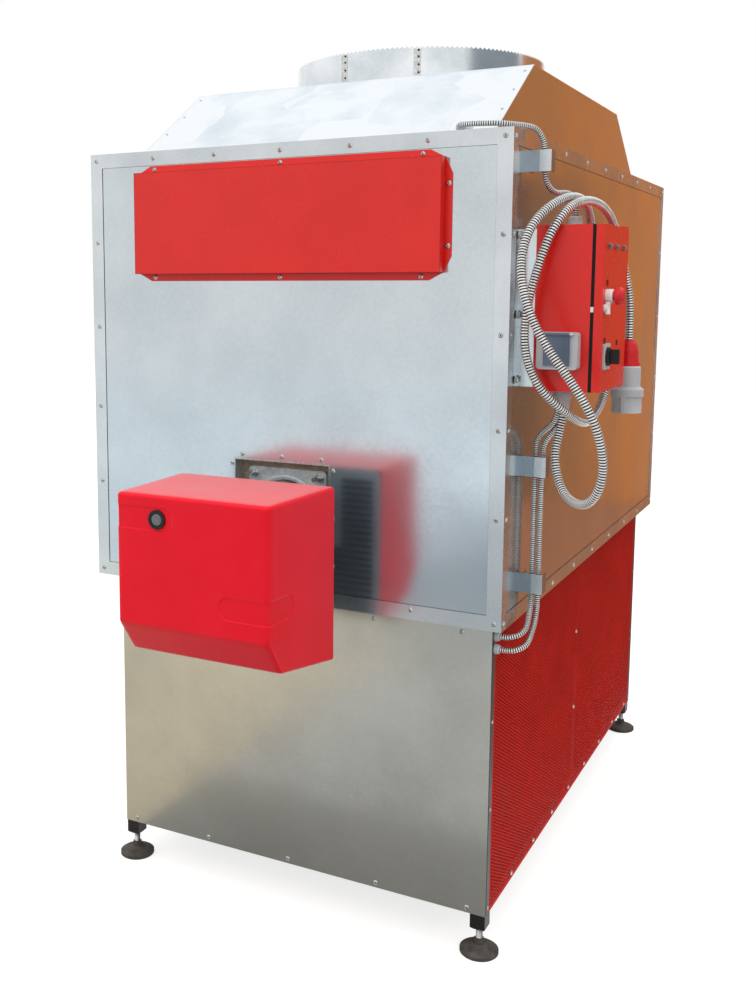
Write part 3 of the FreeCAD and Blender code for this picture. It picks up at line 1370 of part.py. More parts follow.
class Path:
    """Straight runs joined by tangent arcs, each arc as large as its two runs allow."""

    share = 0.45

    def __init__(self, route):
        points = [Vector(*point) for point in route]
        self.pieces = []
        self.radii = []
        self.length = 0.0
        here = points[0]
        for before, point, after in zip(points, points[1:], points[2:]):
            into, out = point - before, after - point
            trim = self.share * min(into.Length, out.Length)
            turn = into.getAngle(out)
            start = point - into.normalize() * trim
            self.add_line(here, start)
            axis = into.cross(out).normalize()
            radius = trim / math.tan(turn / 2)
            self.radii.append(radius)
            self.pieces.append(("arc", self.length, radius * turn, start, into, axis, radius))
            self.length += radius * turn
            here = point + out.normalize() * trim
        self.add_line(here, points[-1])

    def add_line(self, start, end):
        way = end - start
        length = way.Length
        self.pieces.append(("line", self.length, length, start, way.normalize(), None, None))
        self.length += length

    def at(self, distance):
        """The point and the direction at a distance along the path."""
        kind, start_at, length, start, way, axis, radius = next(
            (piece for piece in self.pieces if distance <= piece[1] + piece[2]), self.pieces[-1])
        along = distance - start_at
        if kind == "line":
            return start + way * along, way
        centre = start + axis.cross(way) * radius
        rotation = Rotation(axis, math.degrees(along / radius))
        return centre + rotation.multVec(start - centre), rotation.multVec(way)


def rings_along(path, stations):
    """Circles square to the path, their X axis carried along it without a twist."""
    side = Vector(0.2, 0.9, 0.4)
    wires = []
    for distance, radius in stations:
        point, way = path.at(distance)
        side = (side - way * side.dot(way)).normalize()
        circle = Part.Circle(point, way, radius)
        circle.XAxis = side
        wires.append(Part.Wire([circle.toShape()]))
    return wires


def least_self_gap(path, radius):
    """The least room between two stretches of the path that are not neighbours."""
    step = radius
    points = [path.at(step * i)[0] for i in range(int(path.length / step) + 1)]
    apart = int(8 * radius / step)
    gaps = [
        (points[i] - points[j]).Length - 2 * radius
        for i in range(len(points)) for j in range(i + apart, len(points))
    ]
    return min(gaps)


def ribbed(label, route, radius, bore, pitch):
    """Ribbed conduit along a route, with plain ends one diameter long and its bore."""
    path = Path(route)
    plain = 2 * radius
    count = int((path.length - 2 * plain) / pitch)
    step = (path.length - 2 * plain) / count
    valley = radius - float(S.rib_height)
    rings = [(0, valley)]
    for rib in range(count):
        foot = plain + step * rib
        rings += [(foot + step * share, size) for share, size in
                  ((0.04, valley), (0.3, radius), (0.7, radius), (0.96, valley))]
    rings.append((path.length, valley))
    outer = Part.makeLoft(rings_along(path, rings), True, True)
    stations = [(path.length * i / (2 * count), bore) for i in range(2 * count + 1)]
    inner = Part.makeLoft(rings_along(path, stations), True, True)
    conduit = outer.cut(inner)
    expected = -math.pi * bore ** 2 * path.length
    for (at, size), (next_at, next_size) in zip(rings, rings[1:]):
        expected += math.pi * (next_at - at) * (size ** 2 + size * next_size + next_size ** 2) / 3
    print(f"{label}: length {path.length:.0f}, least radius {min(path.radii):.0f}, ribs {count}, "
          f"least gap {least_self_gap(path, radius):.1f}, volume ratio {conduit.Volume / expected:.3f}")
    return conduit


def conduits():
    thin = (float(S.thin_radius), float(S.thin_bore), float(S.thin_pitch))
    shaped("sensor_conduit", ribbed("sensor_conduit", sensor_route, *thin))
    feeds = [ribbed("burner feed", burner_route, *thin), ribbed("motor feed", motor_route, *thin)]
    shaped("feed_conduits", Part.makeCompound(feeds))
    cord = (float(S.cord_radius), float(S.cord_bore), float(S.cord_pitch))
    shaped("supply_conduit", ribbed("supply_conduit", cord_route, *cord))


def plug():
    """Five-pole industrial plug that hangs at the end of the supply conduit, its mouth down."""
    x, y, top = cord_route[-1]
    cap = turned(new_body("plug_cap"), [
        (0, 0), (S.cord_radius + 3, 0), (S.cord_radius + 9, 10), (S.plug_radius - 8, 26),
        (S.plug_radius - 6, S.cap_length - 8), (S.plug_radius - 3, S.cap_length - 8),
        (S.plug_radius - 3, S.cap_length), (0, S.cap_length),
    ])
    keep("plug_cap", place(cap, x, y, top, "-Z"))
    inside = S.plug_mouth - S.shroud_wall
    floor = S.plug_length - S.shroud_depth
    body = turned(new_body("plug_body"), [
        (0, 0), (S.plug_radius - 3, 0), (S.plug_radius, 4), (S.plug_radius, 52), (S.plug_ring - 3, 58),
        (S.plug_ring, 60), (S.plug_ring, 78), (S.plug_mouth, 80), (S.plug_mouth, S.plug_length),
        (inside, S.plug_length), (inside, floor), (0, floor),
    ])
    key = rect(-5, 5, S.plug_mouth - 1, S.plug_mouth + 6)
    pad(body, "XY", [key], 76, S.plug_length)
    keep("plug_body", place(body, x, y, top - S.cap_length, "-Z"))
    pins = []
    for number in range(5):
        around = math.radians(72 * number + 90)
        pin = turned(new_body("plug_pin"), [
            (0, 0), (S.pin_radius, 0), (S.pin_radius, S.shroud_depth - 8),
            (S.pin_radius - 1, S.shroud_depth - 6), (0, S.shroud_depth - 6),
        ])
        across, along = S.pin_circle * math.cos(around), S.pin_circle * math.sin(around)
        pins.append(place(pin, x + across, y + along, top - S.cap_length - floor, "-Z"))
    group("plug_pins", pins)


def main():
    base_posts()
    base_rails()
    leg_inserts()
    for label, side, end in (("foot_front_left", -1, -1), ("foot_front_right", 1, -1),
                             ("foot_rear_left", -1, 1), ("foot_rear_right", 1, 1)):
        levelling_foot(label, side, end)
    base_end_panels()
    intake_grilles()
    casing_bottom_frame()
    casing_top_frame()
    casing_corner_angles()
    casing_panels()
    casing_decks()
    hood()
    fascia_plate()
    chamber()
    exchanger()
    fan_scroll()
    fan_wheel()
    fan_motor()
    burner_mounting()
    gas_inlet()
    burner_back_plate()
    burner_cover()
    box_brackets()
    box_body()
    box_door()
    door_buttons()
    door_lock()
    main_switch()
    pilot_lamps()
    socket_outlet()
    cable_glands()
    conduit_clips()
    conduits()
    plug()
    doc.recompute()
    failed = [item.Label for item in doc.Objects if {"Invalid", "Error"} & set(item.State)]
    for label, item in NODES.items():
        if item.Shape.isNull() or not item.Shape.isValid() or not item.Shape.Solids:
            failed.append(label)
    if failed:
        raise ValueError(f"these did not build: {failed}")
    os.makedirs("parts", exist_ok=True)
    for label, item in NODES.items():
        item.Shape.exportStep(f"parts/{label}.step")
    print(f"{len(NODES)} sub-parts")


main()
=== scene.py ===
"""Floor-standing warm-air heater: finishes, fine details and the coiled supply conduit on the CAD frame."""

import math

import bpy
import numpy as np
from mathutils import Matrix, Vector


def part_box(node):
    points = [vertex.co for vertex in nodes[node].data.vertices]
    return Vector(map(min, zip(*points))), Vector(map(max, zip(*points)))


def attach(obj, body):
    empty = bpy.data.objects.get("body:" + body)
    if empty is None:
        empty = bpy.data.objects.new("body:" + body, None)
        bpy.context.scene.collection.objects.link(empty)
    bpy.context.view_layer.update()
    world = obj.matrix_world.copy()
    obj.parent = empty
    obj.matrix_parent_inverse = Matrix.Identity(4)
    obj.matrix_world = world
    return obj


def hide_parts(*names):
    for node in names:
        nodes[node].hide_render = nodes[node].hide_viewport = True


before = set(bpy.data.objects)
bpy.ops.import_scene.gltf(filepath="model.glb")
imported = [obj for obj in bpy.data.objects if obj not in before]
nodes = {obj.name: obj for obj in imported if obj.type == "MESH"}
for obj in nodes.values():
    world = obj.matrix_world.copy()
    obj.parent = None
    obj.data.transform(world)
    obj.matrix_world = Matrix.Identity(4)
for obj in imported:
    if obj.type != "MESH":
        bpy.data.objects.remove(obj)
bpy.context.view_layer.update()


def corners(node):
    """The low and high corners of a CAD node's box, in metres."""
    return (np.array(corner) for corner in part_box(node))


# The cabinet's middle in the frame: the outlet collar stands on it
collar_low, collar_high = corners("outlet_collar")
MIDDLE = np.array([(collar_low[0] + collar_high[0]) / 2, (collar_low[1] + collar_high[1]) / 2, 0.0])


def at(places):
    """Millimetres from the cabinet's middle, as metres in the frame."""
    return np.asarray(places, float) / 1000 + MIDDLE


# Materials


def colour(code):
    """An sRGB hex colour as linear red, green, blue and alpha."""
    parts = [int(code[i:i + 2], 16) / 255 for i in (0, 2, 4)]
    return [p / 12.92 if p <= 0.04045 else ((p + 0.055) / 1.055) ** 2.4 for p in parts] + [1.0]


def grey(level):
    return [level, level, level, 1.0]


def per_metre(size_mm):
    """Pattern scale for features of a size in millimetres."""
    return 1000 / size_mm


def add(tree, kind, settings=None, **links):
    """Add a node, set its properties, sockets and colour stops, and link its sockets from other outputs.

    A link's key is the socket's name with underscores for spaces, or in_0, in_1 for a numbered socket.
    """
    node = tree.nodes.new(kind)
    for key, value in (settings or {}).items():
        if key == "stops":
            for element, (position, shade) in zip(node.color_ramp.elements, value):
                element.position, element.color = position, shade
        elif isinstance(key, int) or key in node.inputs:
            node.inputs[key].default_value = value
        else:
            setattr(node, key, value)
    for key, output in links.items():
        tree.links.new(output, node.inputs[int(key[3:]) if key.startswith("in_") else key.replace("_", " ")])
    return node


def new_material(name, settings):
    """A material whose one shader has these socket values; returns it, its tree, shader and object space."""
    material = bpy.data.materials.new(name)
    material.use_nodes = True
    tree = material.node_tree
    shader = tree.nodes["Principled BSDF"]
    for key, value in settings.items():
        shader.inputs[key].default_value = value
    return material, tree, shader, add(tree, "ShaderNodeTexCoord").outputs["Object"]


def noise(tree, space, size_mm, detail):
    """Soft noise with features of a size in millimetres."""
    return add(tree, "ShaderNodeTexNoise", {"Scale": per_metre(size_mm), "Detail": detail}, Vector=space).outputs[0]


def mosaic(tree, space, size_mm, distance="EUCLIDEAN"):
    """Cells of a size in millimetres, each of one random tone."""
    cells = add(tree, "ShaderNodeTexVoronoi", {"distance": distance, "Scale": per_metre(size_mm)}, Vector=space)
    return cells.outputs["Color"]


def blend(tree, share, value, base):
    """The value times its share, plus the base."""
    return add(tree, "ShaderNodeMath", {"operation": "MULTIPLY_ADD", 1: share}, in_0=value, in_2=base).outputs[0]


def ramp(tree, value, *stops):
    """A colour that changes with a value between two stops of (position, colour)."""
    return add(tree, "ShaderNodeValToRGB", {"stops": stops}, Fac=value).outputs[0]


def bump(tree, height, strength, distance):
    return add(tree, "ShaderNodeBump", {"Strength": strength, "Distance": distance}, Height=height).outputs[0]


def link(tree, shader, **outputs):
    """Link outputs to the shader's sockets, named with underscores for spaces."""
    for socket, output in outputs.items():
        tree.links.new(output, shader.inputs[socket.replace("_", " ")])


def galvanised_sheet(name, dark, light, rough, dent_mm=380, dent=0.25, patch_mm=260, film=0.0, spangle=0.06):
    """Hot-dip galvanised steel sheet: satin zinc with faint crystals, a fine grain and soft clouds.

    The tone is clouds of patch_mm plus the crystals times the spangle and a fifth of the grain. Where a film
    strength is given, square-edged patches change it too, as left by a protective film that was pulled off.
    """
    material, tree, shader, space = new_material(name, {"Metallic": 1.0})
    crystal_mm, grain_mm, film_mm = 7, 2.5, 290
    tone = blend(tree, spangle, mosaic(tree, space, crystal_mm), noise(tree, space, patch_mm, 4.0))
    tone = blend(tree, 0.2, noise(tree, space, grain_mm, 2.0), tone)
    if film:
        tone = blend(tree, film, mosaic(tree, space, film_mm, "CHEBYCHEV"), tone)
    low, high = 0.39 + spangle / 2, 0.8 + spangle / 2
    dents, dent_height = noise(tree, space, dent_mm, 2.0), dent_mm / 60000
    link(tree, shader, Base_Color=ramp(tree, tone, (low, colour(dark)), (high, colour(light))),
         Roughness=ramp(tree, tone, (low, grey(rough + 0.05)), (high, grey(rough - 0.03))),
         Normal=bump(tree, dents, dent, dent_height))
    return material


def coated(name, dark, light, rough, grain_mm, grain, settings, patch_mm=120):
    """A coloured skin over sheet or moulding: nearly even colour, faint dusty clouds, a fine raised grain."""
    material, tree, shader, space = new_material(name, settings)
    clouds, skin = noise(tree, space, patch_mm, 4.0), noise(tree, space, grain_mm, 1.0)
    link(tree, shader, Base_Color=ramp(tree, clouds, (0.3, colour(dark)), (0.72, colour(light))),
         Roughness=ramp(tree, clouds, (0.3, grey(rough - 0.04)), (0.7, grey(rough + 0.06))),
         Normal=bump(tree, skin, grain, SKIN))
    return material


def bare_metal(name, dark, light, rough_low, rough_high, patch_mm):
    """Plated, cast or turned metal: patches of slightly different tone and gloss."""
    material, tree, shader, space = new_material(name, {"Metallic": 1.0})
    patches = noise(tree, space, patch_mm, 5.0)
    link(tree, shader, Base_Color=ramp(tree, patches, (0.3, colour(dark)), (0.7, colour(light))),
         Roughness=ramp(tree, patches, (0.3, grey(rough_high)), (0.7, grey(rough_low))),
         Normal=bump(tree, patches, 0.08, SKIN))
    return material


def wound_conduit(name, groove_shade, dark, light):
    """Zinc-coated strip wound into a ribbed conduit: bright crests, painted shade where the groove attribute is high.
    """
    material, tree, shader, space = new_material(name, {"Metallic": 0.8})
    groove = add(tree, "ShaderNodeAttribute", {"attribute_name": "groove"}).outputs["Fac"]
    crest = ramp(tree, noise(tree, space, 30, 4.0), (0.3, colour(dark)), (0.7, colour(light)))
    # How far each point takes the painted groove shade instead of the crest colour
    depth = ramp(tree, groove, (0.12, grey(0.0)), (0.62, grey(1.0)))
    shade = add(tree, "ShaderNodeMix", {"data_type": "RGBA", 7: colour(groove_shade)}, in_0=depth, in_6=crest)
    link(tree, shader, Base_Color=shade.outputs[2], Roughness=ramp(tree, groove, (0.0, grey(0.2)), (0.8, grey(0.6))))
    return material


SKIN = 0.0002  # how far a fine raised grain stands up, in metres
POWDER = {"IOR": 1.5, "Specular IOR Level": 0.48}
MOULDED = {"IOR": 1.48, "Specular IOR Level": 0.36}
SATIN = {"IOR": 1.48, "Specular IOR Level": 0.18, "Sheen Weight": 0.9, "Sheen Roughness": 0.26}
MATT = {"IOR": 1.5, "Specular IOR Level": 0.1}
LENS = {"IOR": 1.58, "Coat Weight": 0.5}
FINISH = {
    "galvanised": galvanised_sheet("galvanised_sheet", "BEC6CA", "CCD3D7", 0.16, spangle=0.16),
    "hood_sheet": galvanised_sheet("galvanised_hood_sheet", "D0DEE9", "F3F9FD", 0.26, 150, 0.35, 180, 0.32),
    "collar_sheet": galvanised_sheet("galvanised_collar", "CCD3D8", "EEF2F4", 0.2, 90, 0.3, 120),
    "base_sheet": galvanised_sheet("galvanised_base_sheet", "BFBDB6", "CECCC6", 0.2, 220, 0.3, 200, spangle=0.16),
    "edge": galvanised_sheet("galvanised_angle", "BDC3C6", "D6DADC", 0.26, 16, 0.2),
    "clip_sheet": galvanised_sheet("galvanised_clip", "8D98A2", "A9B3BB", 0.3, 30, 0.2),
    "inner_sheet": galvanised_sheet("galvanised_inner_sheet", "8E9396", "A9AEB1", 0.34),
    "red_sheet": coated("red_powder_coat", "D6180E", "DE1E13", 0.27, 2.5, 0.05, POWDER),
    "red_grille": coated("red_coated_mesh", "C21B12", "D4251A", 0.6, 1.2, 0.1, MATT),
    # A darker red, used only as painted shadow in the fascia's bends
    "dark_red": coated("red_coat_in_a_bend", "9C100A", "A81710", 0.4, 2.5, 0.05, POWDER),
    # Near-black red, used only as painted shade behind the grille holes
    "filter": coated("painted_shade_behind_grille", "260504", "340806", 0.9, 2.0, 0.3, MOULDED),
    "black_frame": coated("black_powder_coat", "0A0A0C", "151517", 0.42, 1.5, 0.12, POWDER),
    "motor": coated("grey_motor_paint", "3E4449", "50575D", 0.45, 1.5, 0.12, POWDER),
    "cover": coated("red_abs_cover", "E41026", "EA172D", 0.32, 1.6, 0.04, SATIN),
    "black": coated("black_polyamide", "0B0B0C", "171718", 0.42, 0.9, 0.15, MOULDED, 60),
    "grey": coated("light_grey_polyamide", "AEB1B5", "C3C6CA", 0.4, 0.9, 0.15, MOULDED, 60),
    "blue_grey": coated("blue_grey_lid", "4B586A", "5D6B7E", 0.32, 0.9, 0.15, MOULDED, 60),
    "white": coated("white_polyamide", "DDDDD9", "EDEDEA", 0.32, 0.9, 0.15, MOULDED, 60),
    "green": coated("green_button", "0D6B2B", "168538", 0.3, 0.9, 0.1, MOULDED, 20),
    "red_button": coated("red_button", "C81420", "D8202A", 0.3, 0.9, 0.1, MOULDED, 20),
    "rubber": coated("dusty_rubber", "3A3632", "5A5550", 0.8, 1.4, 0.4, MOULDED, 25),
    "seal": coated("foam_rubber", "0A0909", "171514", 0.8, 1.4, 0.4, MOULDED, 25),
    "lens": coated("lamp_lens", "3A3431", "8D857C", 0.14, 4, 0.1, LENS, 4),
    "reset_lens": coated("reset_lens", "2C2E2E", "6F7371", 0.14, 4, 0.1, LENS, 4),
    # Dark grey, used only as a painted dark reflection on the end panels' folds by the grilles
    "fold_sheet": coated("painted_dark_reflection_fold", "3C3F41", "4C5052", 0.45, 3.0, 0.1, {"Metallic": 0.3}),
    "port_sheet": galvanised_sheet("galvanised_port_sleeve", "D2D7DA", "E2E6E8", 0.5),
    "fibre": coated("ceramic_fibre_board", "9C8672", "BBA48F", 0.85, 1.5, 0.4, MOULDED, 15),
    "zinc": bare_metal("zinc_plated_steel", "B4B6B4", "E2E3E0", 0.2, 0.34, 6),
    # Dark steel, and also the painted shade in the screw recesses and in the seam gaps
    "iron": bare_metal("phosphated_steel_and_painted_shade", "2A2B2C", "4A4B4C", 0.4, 0.6, 12),
    "heat_steel": bare_metal("heat_proof_steel", "6E6A65", "9A968F", 0.3, 0.5, 40),
    "cast": coated("cast_aluminium", "B4B8BB", "D3D6D8", 0.38, 3.0, 0.2, {"Metallic": 0.35}, 12),
    "back_steel": coated("grey_coated_steel", "BCC4CF", "CFD6E0", 0.5, 1.5, 0.05, POWDER),
    "brass": bare_metal("brass_pin", "A88648", "D2B071", 0.2, 0.35, 5),
    # Its first colour is the painted shade in the grooves
    "conduit": wound_conduit("zinc_coated_conduit", "1C1918", "E6E6E2", "FBFBF9"),
}

NODE_FINISH = {
    "base_posts": "black_frame", "base_rails": "black_frame", "leg_inserts": "black",
    "foot_front_left": "rubber", "foot_front_right": "rubber", "foot_rear_left": "rubber", "foot_rear_right": "rubber",
    "base_end_panels": "base_sheet", "intake_grilles": "red_grille",
    "casing_bottom_frame": "edge", "casing_top_frame": "edge", "casing_corner_angles": "edge",
    "casing_front_panel": "galvanised", "casing_rear_panel": "galvanised", "casing_side_panels": "galvanised",
    "casing_top_deck": "galvanised", "fan_deck": "inner_sheet", "hood_side_sheets": "galvanised",
    "hood_slope_sheets": "hood_sheet", "hood_top_plate": "hood_sheet", "outlet_collar": "collar_sheet",
    "fascia_plate": "red_sheet", "burner_port_frame": "port_sheet", "combustion_chamber": "heat_steel",
    "exchanger_tubes": "heat_steel", "turning_boxes": "heat_steel", "flue_collector": "heat_steel",
    "flue_spigot": "heat_steel", "fan_scroll": "inner_sheet", "fan_wheel": "inner_sheet", "fan_motor": "motor",
    "burner_flange": "cast", "blast_tube": "heat_steel", "flange_studs": "zinc", "gas_inlet": "cast",
    "burner_back_plate": "back_steel", "burner_cover": "cover", "reset_bezel": "black",
    "reset_button": "reset_lens", "box_brackets": "galvanised", "box_body": "red_sheet", "door_gasket": "seal",
    "box_door": "red_sheet", "door_lock": "white", "button_collars": "white", "stop_button": "red_button",
    "start_button": "green", "switch_plate": "grey", "switch_knob": "black", "pilot_lamps": "lens",
    "socket_housing": "grey", "socket_lid": "blue_grey", "cable_glands": "grey", "conduit_clips": "clip_sheet",
    "sensor_conduit": "conduit", "feed_conduits": "conduit", "supply_conduit": "conduit",
    "plug_cap": "red_button", "plug_body": "grey", "plug_pins": "brass",
}
for node_name, finish in NODE_FINISH.items():
    for material_slot in nodes[node_name].material_slots:
        material_slot.material = FINISH[finish]


# Surfaces


def make_piece(name, verts, faces, finish, slot, body="cabinet", smooth=True):
    """A mesh piece of one finish that rides on a body of the frame."""
    mesh = bpy.data.meshes.new(name)
    mesh.from_pydata(np.asarray(verts, float).reshape(-1, 3), [], np.asarray(faces).tolist())
    mesh.update()
    mesh.polygons.foreach_set("use_smooth", np.full(len(mesh.polygons), smooth))
    mesh.materials.append(FINISH[finish])
    piece = bpy.data.objects.new(name, mesh)
    bpy.context.scene.collection.objects.link(piece)
    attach(piece, body)
    return piece


def grid_faces(rows, columns, closed=True):
    """Quads of a grid of rows by columns, the columns joined into a ring when closed."""
    row, column = np.meshgrid(np.arange(rows - 1), np.arange(columns if closed else columns - 1), indexing="ij")
    beside = (column + 1) % columns
    here, above = row * columns, (row + 1) * columns
    return np.stack([here + column, here + beside, above + beside, above + column], -1).reshape(-1, 4)


def repeat(one, count, points):
    """The faces of one form repeated for a count of forms with so many points each."""
    return (one[None] + points * np.arange(count)[:, None, None]).reshape(-1, 4)


def turned_heads(profile, sides, places, axes):
    """Round heads: a profile of (radius, rise) turned about each axis at each place, as one set of points.

    Each point is the place plus rise along the axis plus radius times the circle square to it.
    """
    profile = np.asarray(profile, float) / 1000
    places, axes = np.atleast_2d(places), np.atleast_2d(np.asarray(axes, float))
    axes = np.broadcast_to(axes, places.shape)
    helper = np.where(np.abs(axes[:, 2:]) > 0.7, [[1.0, 0, 0]], [[0, 0, 1.0]])
    across = np.cross(helper, axes)
    across /= np.linalg.norm(across, axis=1, keepdims=True)
    up = np.cross(axes, across)
    angle = np.linspace(0, 2 * math.pi, sides, endpoint=False)
    circle = across[:, None] * np.cos(angle)[None, :, None] + up[:, None] * np.sin(angle)[None, :, None]
    rings = (places[:, None, None] + profile[None, :, 1, None, None] * axes[:, None, None]
             + profile[None, :, 0, None, None] * circle[:, None])
    faces = repeat(grid_faces(len(profile), sides), len(places), len(profile) * sides)
    return rings.reshape(-1, 3), faces[:, ::-1]


def bars(boxes):
    """Closed rectangular bars, each given by its two corners in metres."""
    boxes = np.asarray(boxes, float).reshape(-1, 2, 3)
    pick = np.array([[i, j, k] for i in (0, 1) for j in (0, 1) for k in (0, 1)])
    verts = boxes[:, pick, np.arange(3)]
    one = np.array([[0, 1, 3, 2], [4, 6, 7, 5], [0, 4, 5, 1], [2, 3, 7, 6], [0, 2, 6, 4], [1, 5, 7, 3]])
    return verts.reshape(-1, 3), repeat(one, len(boxes), 8)


def frame_bars(middle, inner, outer, y_low, y_high):
    """Four bars round an upright opening, given by its half width and half height and those of the outside."""
    (inner_x, inner_z), (outer_x, outer_z) = np.broadcast_to(inner, 2), np.broadcast_to(outer, 2)
    plan = np.array([[(-outer_x, -outer_z), (-inner_x, outer_z)], [(inner_x, -outer_z), (outer_x, outer_z)],
                     [(-inner_x, inner_z), (inner_x, outer_z)], [(-inner_x, -outer_z), (inner_x, -inner_z)]])
    plan += (middle[0], middle[2])
    return np.stack([plan[..., 0], np.tile([y_low, y_high], (4, 1)), plan[..., 1]], -1)


# Screws and rivets

FRONT, REAR, RIGHT, LEFT, UP, DOWN = (0, -1, 0), (0, 1, 0), (1, 0, 0), (-1, 0, 0), (0, 0, 1), (0, 0, -1)

# Profiles of heads as (radius, rise) in millimetres, from the crown to the foot
SCREW = [(1.9, 2.4), (2.1, 3.3), (3.4, 3.0), (4.2, 1.6), (4.3, 0.9), (6.4, 0.7), (6.6, 0.0)]
# A flat disc just over a screw's crown, drawn dark as painted shade in its recess
RECESS_SHADE = [(0.02, 2.5), (1.9, 2.5)]
RIVET = [(0.02, 2.2), (2.0, 2.0), (3.4, 1.2), (4.0, 0.0)]
FLAT_RIVET = [(0.02, 1.5), (2.2, 1.4), (3.2, 0.8), (3.4, 0.0)]
HEX = [(0.02, 6.0), (6.5, 6.0), (7.6, 5.2), (7.6, 1.6), (11.0, 1.4), (11.0, 0.0)]


def heads(name, profile, sides, groups, finish, slot, smooth=True):
    """Turned heads in groups of (places in millimetres, axis), joined into one piece."""
    places = np.concatenate([at(group) for group, _ in groups])
    axes = np.concatenate([np.tile(np.array(axis, float), (len(group), 1)) for group, axis in groups])
    return make_piece(name, *turned_heads(profile, sides, places, axes), finish, slot, smooth=smooth)


def screws(name, groups):
    """Washer-head screws, each with a flat dark disc just over its crown as painted shade in its recess."""
    heads(name, SCREW, 12, groups, "zinc", "zinc")
    heads(f"{name[:-1]}_recess_shade", RECESS_SHADE, 8, groups, "iron", "dark_steel")


def row_of(fixed, **spans):
    """Places on a line: the span gives one axis its list of values; the others stay as in fixed."""
    axis, values = next(iter(spans.items()))
    places = np.tile(np.array(fixed, float), (len(values), 1))
    places[:, "xyz".index(axis)] = values
    return places


def fasteners():
    """Screws along the edge angles, fascia, base and grilles, bolts of the box, spaced as on the real one."""
    casing_x, casing_y, base_x, base_y = 600, 930, 560, 870
    angle_x, angle_y, post_y = 581, 911, 857
    edge_z = [2046, 1824, 1592, 1368, 1154, 899]
    band_x, foot_x = [-392, -200, -4, 190, 393], [-366, -122, 122, 366]
    panel_low_x, panel_high_x = [-522, -270, -10, 256, 510], [-480, -240, 0, 240, 480]
    band_y = [-700, -468, -238, -12, 218, 452, 676]
    mesh_y = [-650, -440, -240, -45, 160, 372, 578, 780]
    groups = []
    for sign, axis in ((-1, FRONT), (1, REAR)):
        y = sign * casing_y
        groups += [(row_of((side * angle_x, y, 0), z=edge_z), axis) for side in (-1, 1)]
        groups += [(row_of((0, y, 2046), x=band_x), axis), (row_of((0, y, 905), x=foot_x), axis)]
        groups += [(row_of((0, sign * base_y, z), x=x), axis) for z, x in ((124, panel_low_x), (850, panel_high_x))]
    for sign, axis in ((1, RIGHT), (-1, LEFT)):
        x, mesh_x = sign * casing_x, sign * base_x
        groups += [(row_of((x, 0, z), y=band_y), axis) for z in (2047, 897)]
        groups += [(row_of((x, end * angle_y, 0), z=edge_z), axis) for end in (-1, 1)]
        groups += [(row_of((mesh_x, end * post_y, 0), z=[845, 625, 394, 130]), axis) for end in (-1, 1)]
        groups += [(row_of((mesh_x, 0, z), y=mesh_y), axis) for z in (126, 862)]
        groups.append((row_of((mesh_x, -12, 0), z=[628, 382]), axis))
    screws("casing_screws", groups)
    fascia_y, port_y = -929.5, -928
    fascia = [(row_of((0, fascia_y, z), x=[-388, -4, 380]), FRONT) for z in (2015, 1729)]
    fascia += [(row_of((sign * 446, fascia_y, 0), z=[1945, 1800]), FRONT) for sign in (-1, 1)]
    screws("fascia_screws", fascia)
    port = [(row_of((0, port_y, 1264), x=[-118, 0, 116]), FRONT)]
    port += [(row_of((sign * 149, port_y, 0), z=[1238, 1114, 990]), FRONT) for sign in (-1, 1)]
    screws("port_screws", port)
    hood_y, hood_z, hood_run, hood_rise = -820, 2063, 325, 215
    slope_axis = np.array([0, -hood_rise, hood_run], float) / math.hypot(hood_rise, hood_run)
    share = np.array([0.08, 0.36, 0.64, 0.92])
    y, z = hood_y + hood_run * share, hood_z + hood_rise * share
    hood_edges = []
    for x in (-498, 498):
        hood_edges.append((np.stack([np.full(4, x), y, z], 1), slope_axis))
        hood_edges.append((np.stack([np.full(4, x), -y, z], 1), slope_axis * (1, -1, 1)))
    heads("hood_rivets", RIVET, 10, hood_edges, "zinc", "zinc")
    bolts, studs = row_of((602, -877, 0), z=[1824, 1639, 1485]), row_of((219, -1085, 0), z=[1144, 866])
    heads("bracket_bolts", HEX, 6, [(bolts, RIGHT)], "zinc", "zinc", smooth=False)
    heads("cover_screws", RIVET, 10, [(studs, RIGHT)], "black", "black_plastic")


def feet():
    """Thread turns on each levelling stem between its nut and the leg insert, as a toothed profile turned round."""
    root, crest = 8.1, 8.9
    rise = np.arange(65.5, 38.5, -1.0)
    thread = np.stack([np.where(np.arange(len(rise)) % 2 == 0, root, crest), rise], 1)
    for corner in ("front_left", "front_right", "rear_left", "rear_right"):
        low, high = corners(f"foot_{corner}")
        middle = (low + high) / 2 * (1, 1, 0)
        make_piece(f"{corner}_thread", *turned_heads(thread, 20, middle, UP), "zinc", "zinc", f"{corner}_foot",
                   smooth=False)


def seams():
    """Thin shadow gaps where the edge angles lie on the panels, as dark bars in the corner of each step."""
    wide, rise = 0.0012, 0.0003
    panel_x, panel_y = 0.59855, 0.92855
    half_x, half_y, foot, top = 0.562, 0.892, 0.918, 2.027
    lines = []
    for sign in (-1, 1):
        y = sign * panel_y
        for x in (-half_x, half_x):
            lines.append([(x - wide / 2, y - rise, foot), (x + wide / 2, y + rise, top)])
        for z in (foot, top):
            lines.append([(-half_x, y - rise, z - wide / 2), (half_x, y + rise, z + wide / 2)])
        x = sign * panel_x
        for y in (-half_y, half_y):
            lines.append([(x - rise, y - wide / 2, foot), (x + rise, y + wide / 2, top)])
        for z in (foot, top):
            lines.append([(x - rise, -half_y, z - wide / 2), (x + rise, half_y, z + wide / 2)])
    make_piece("panel_seams", *bars(np.array(lines) + MIDDLE), "iron", "dark_steel", smooth=False)


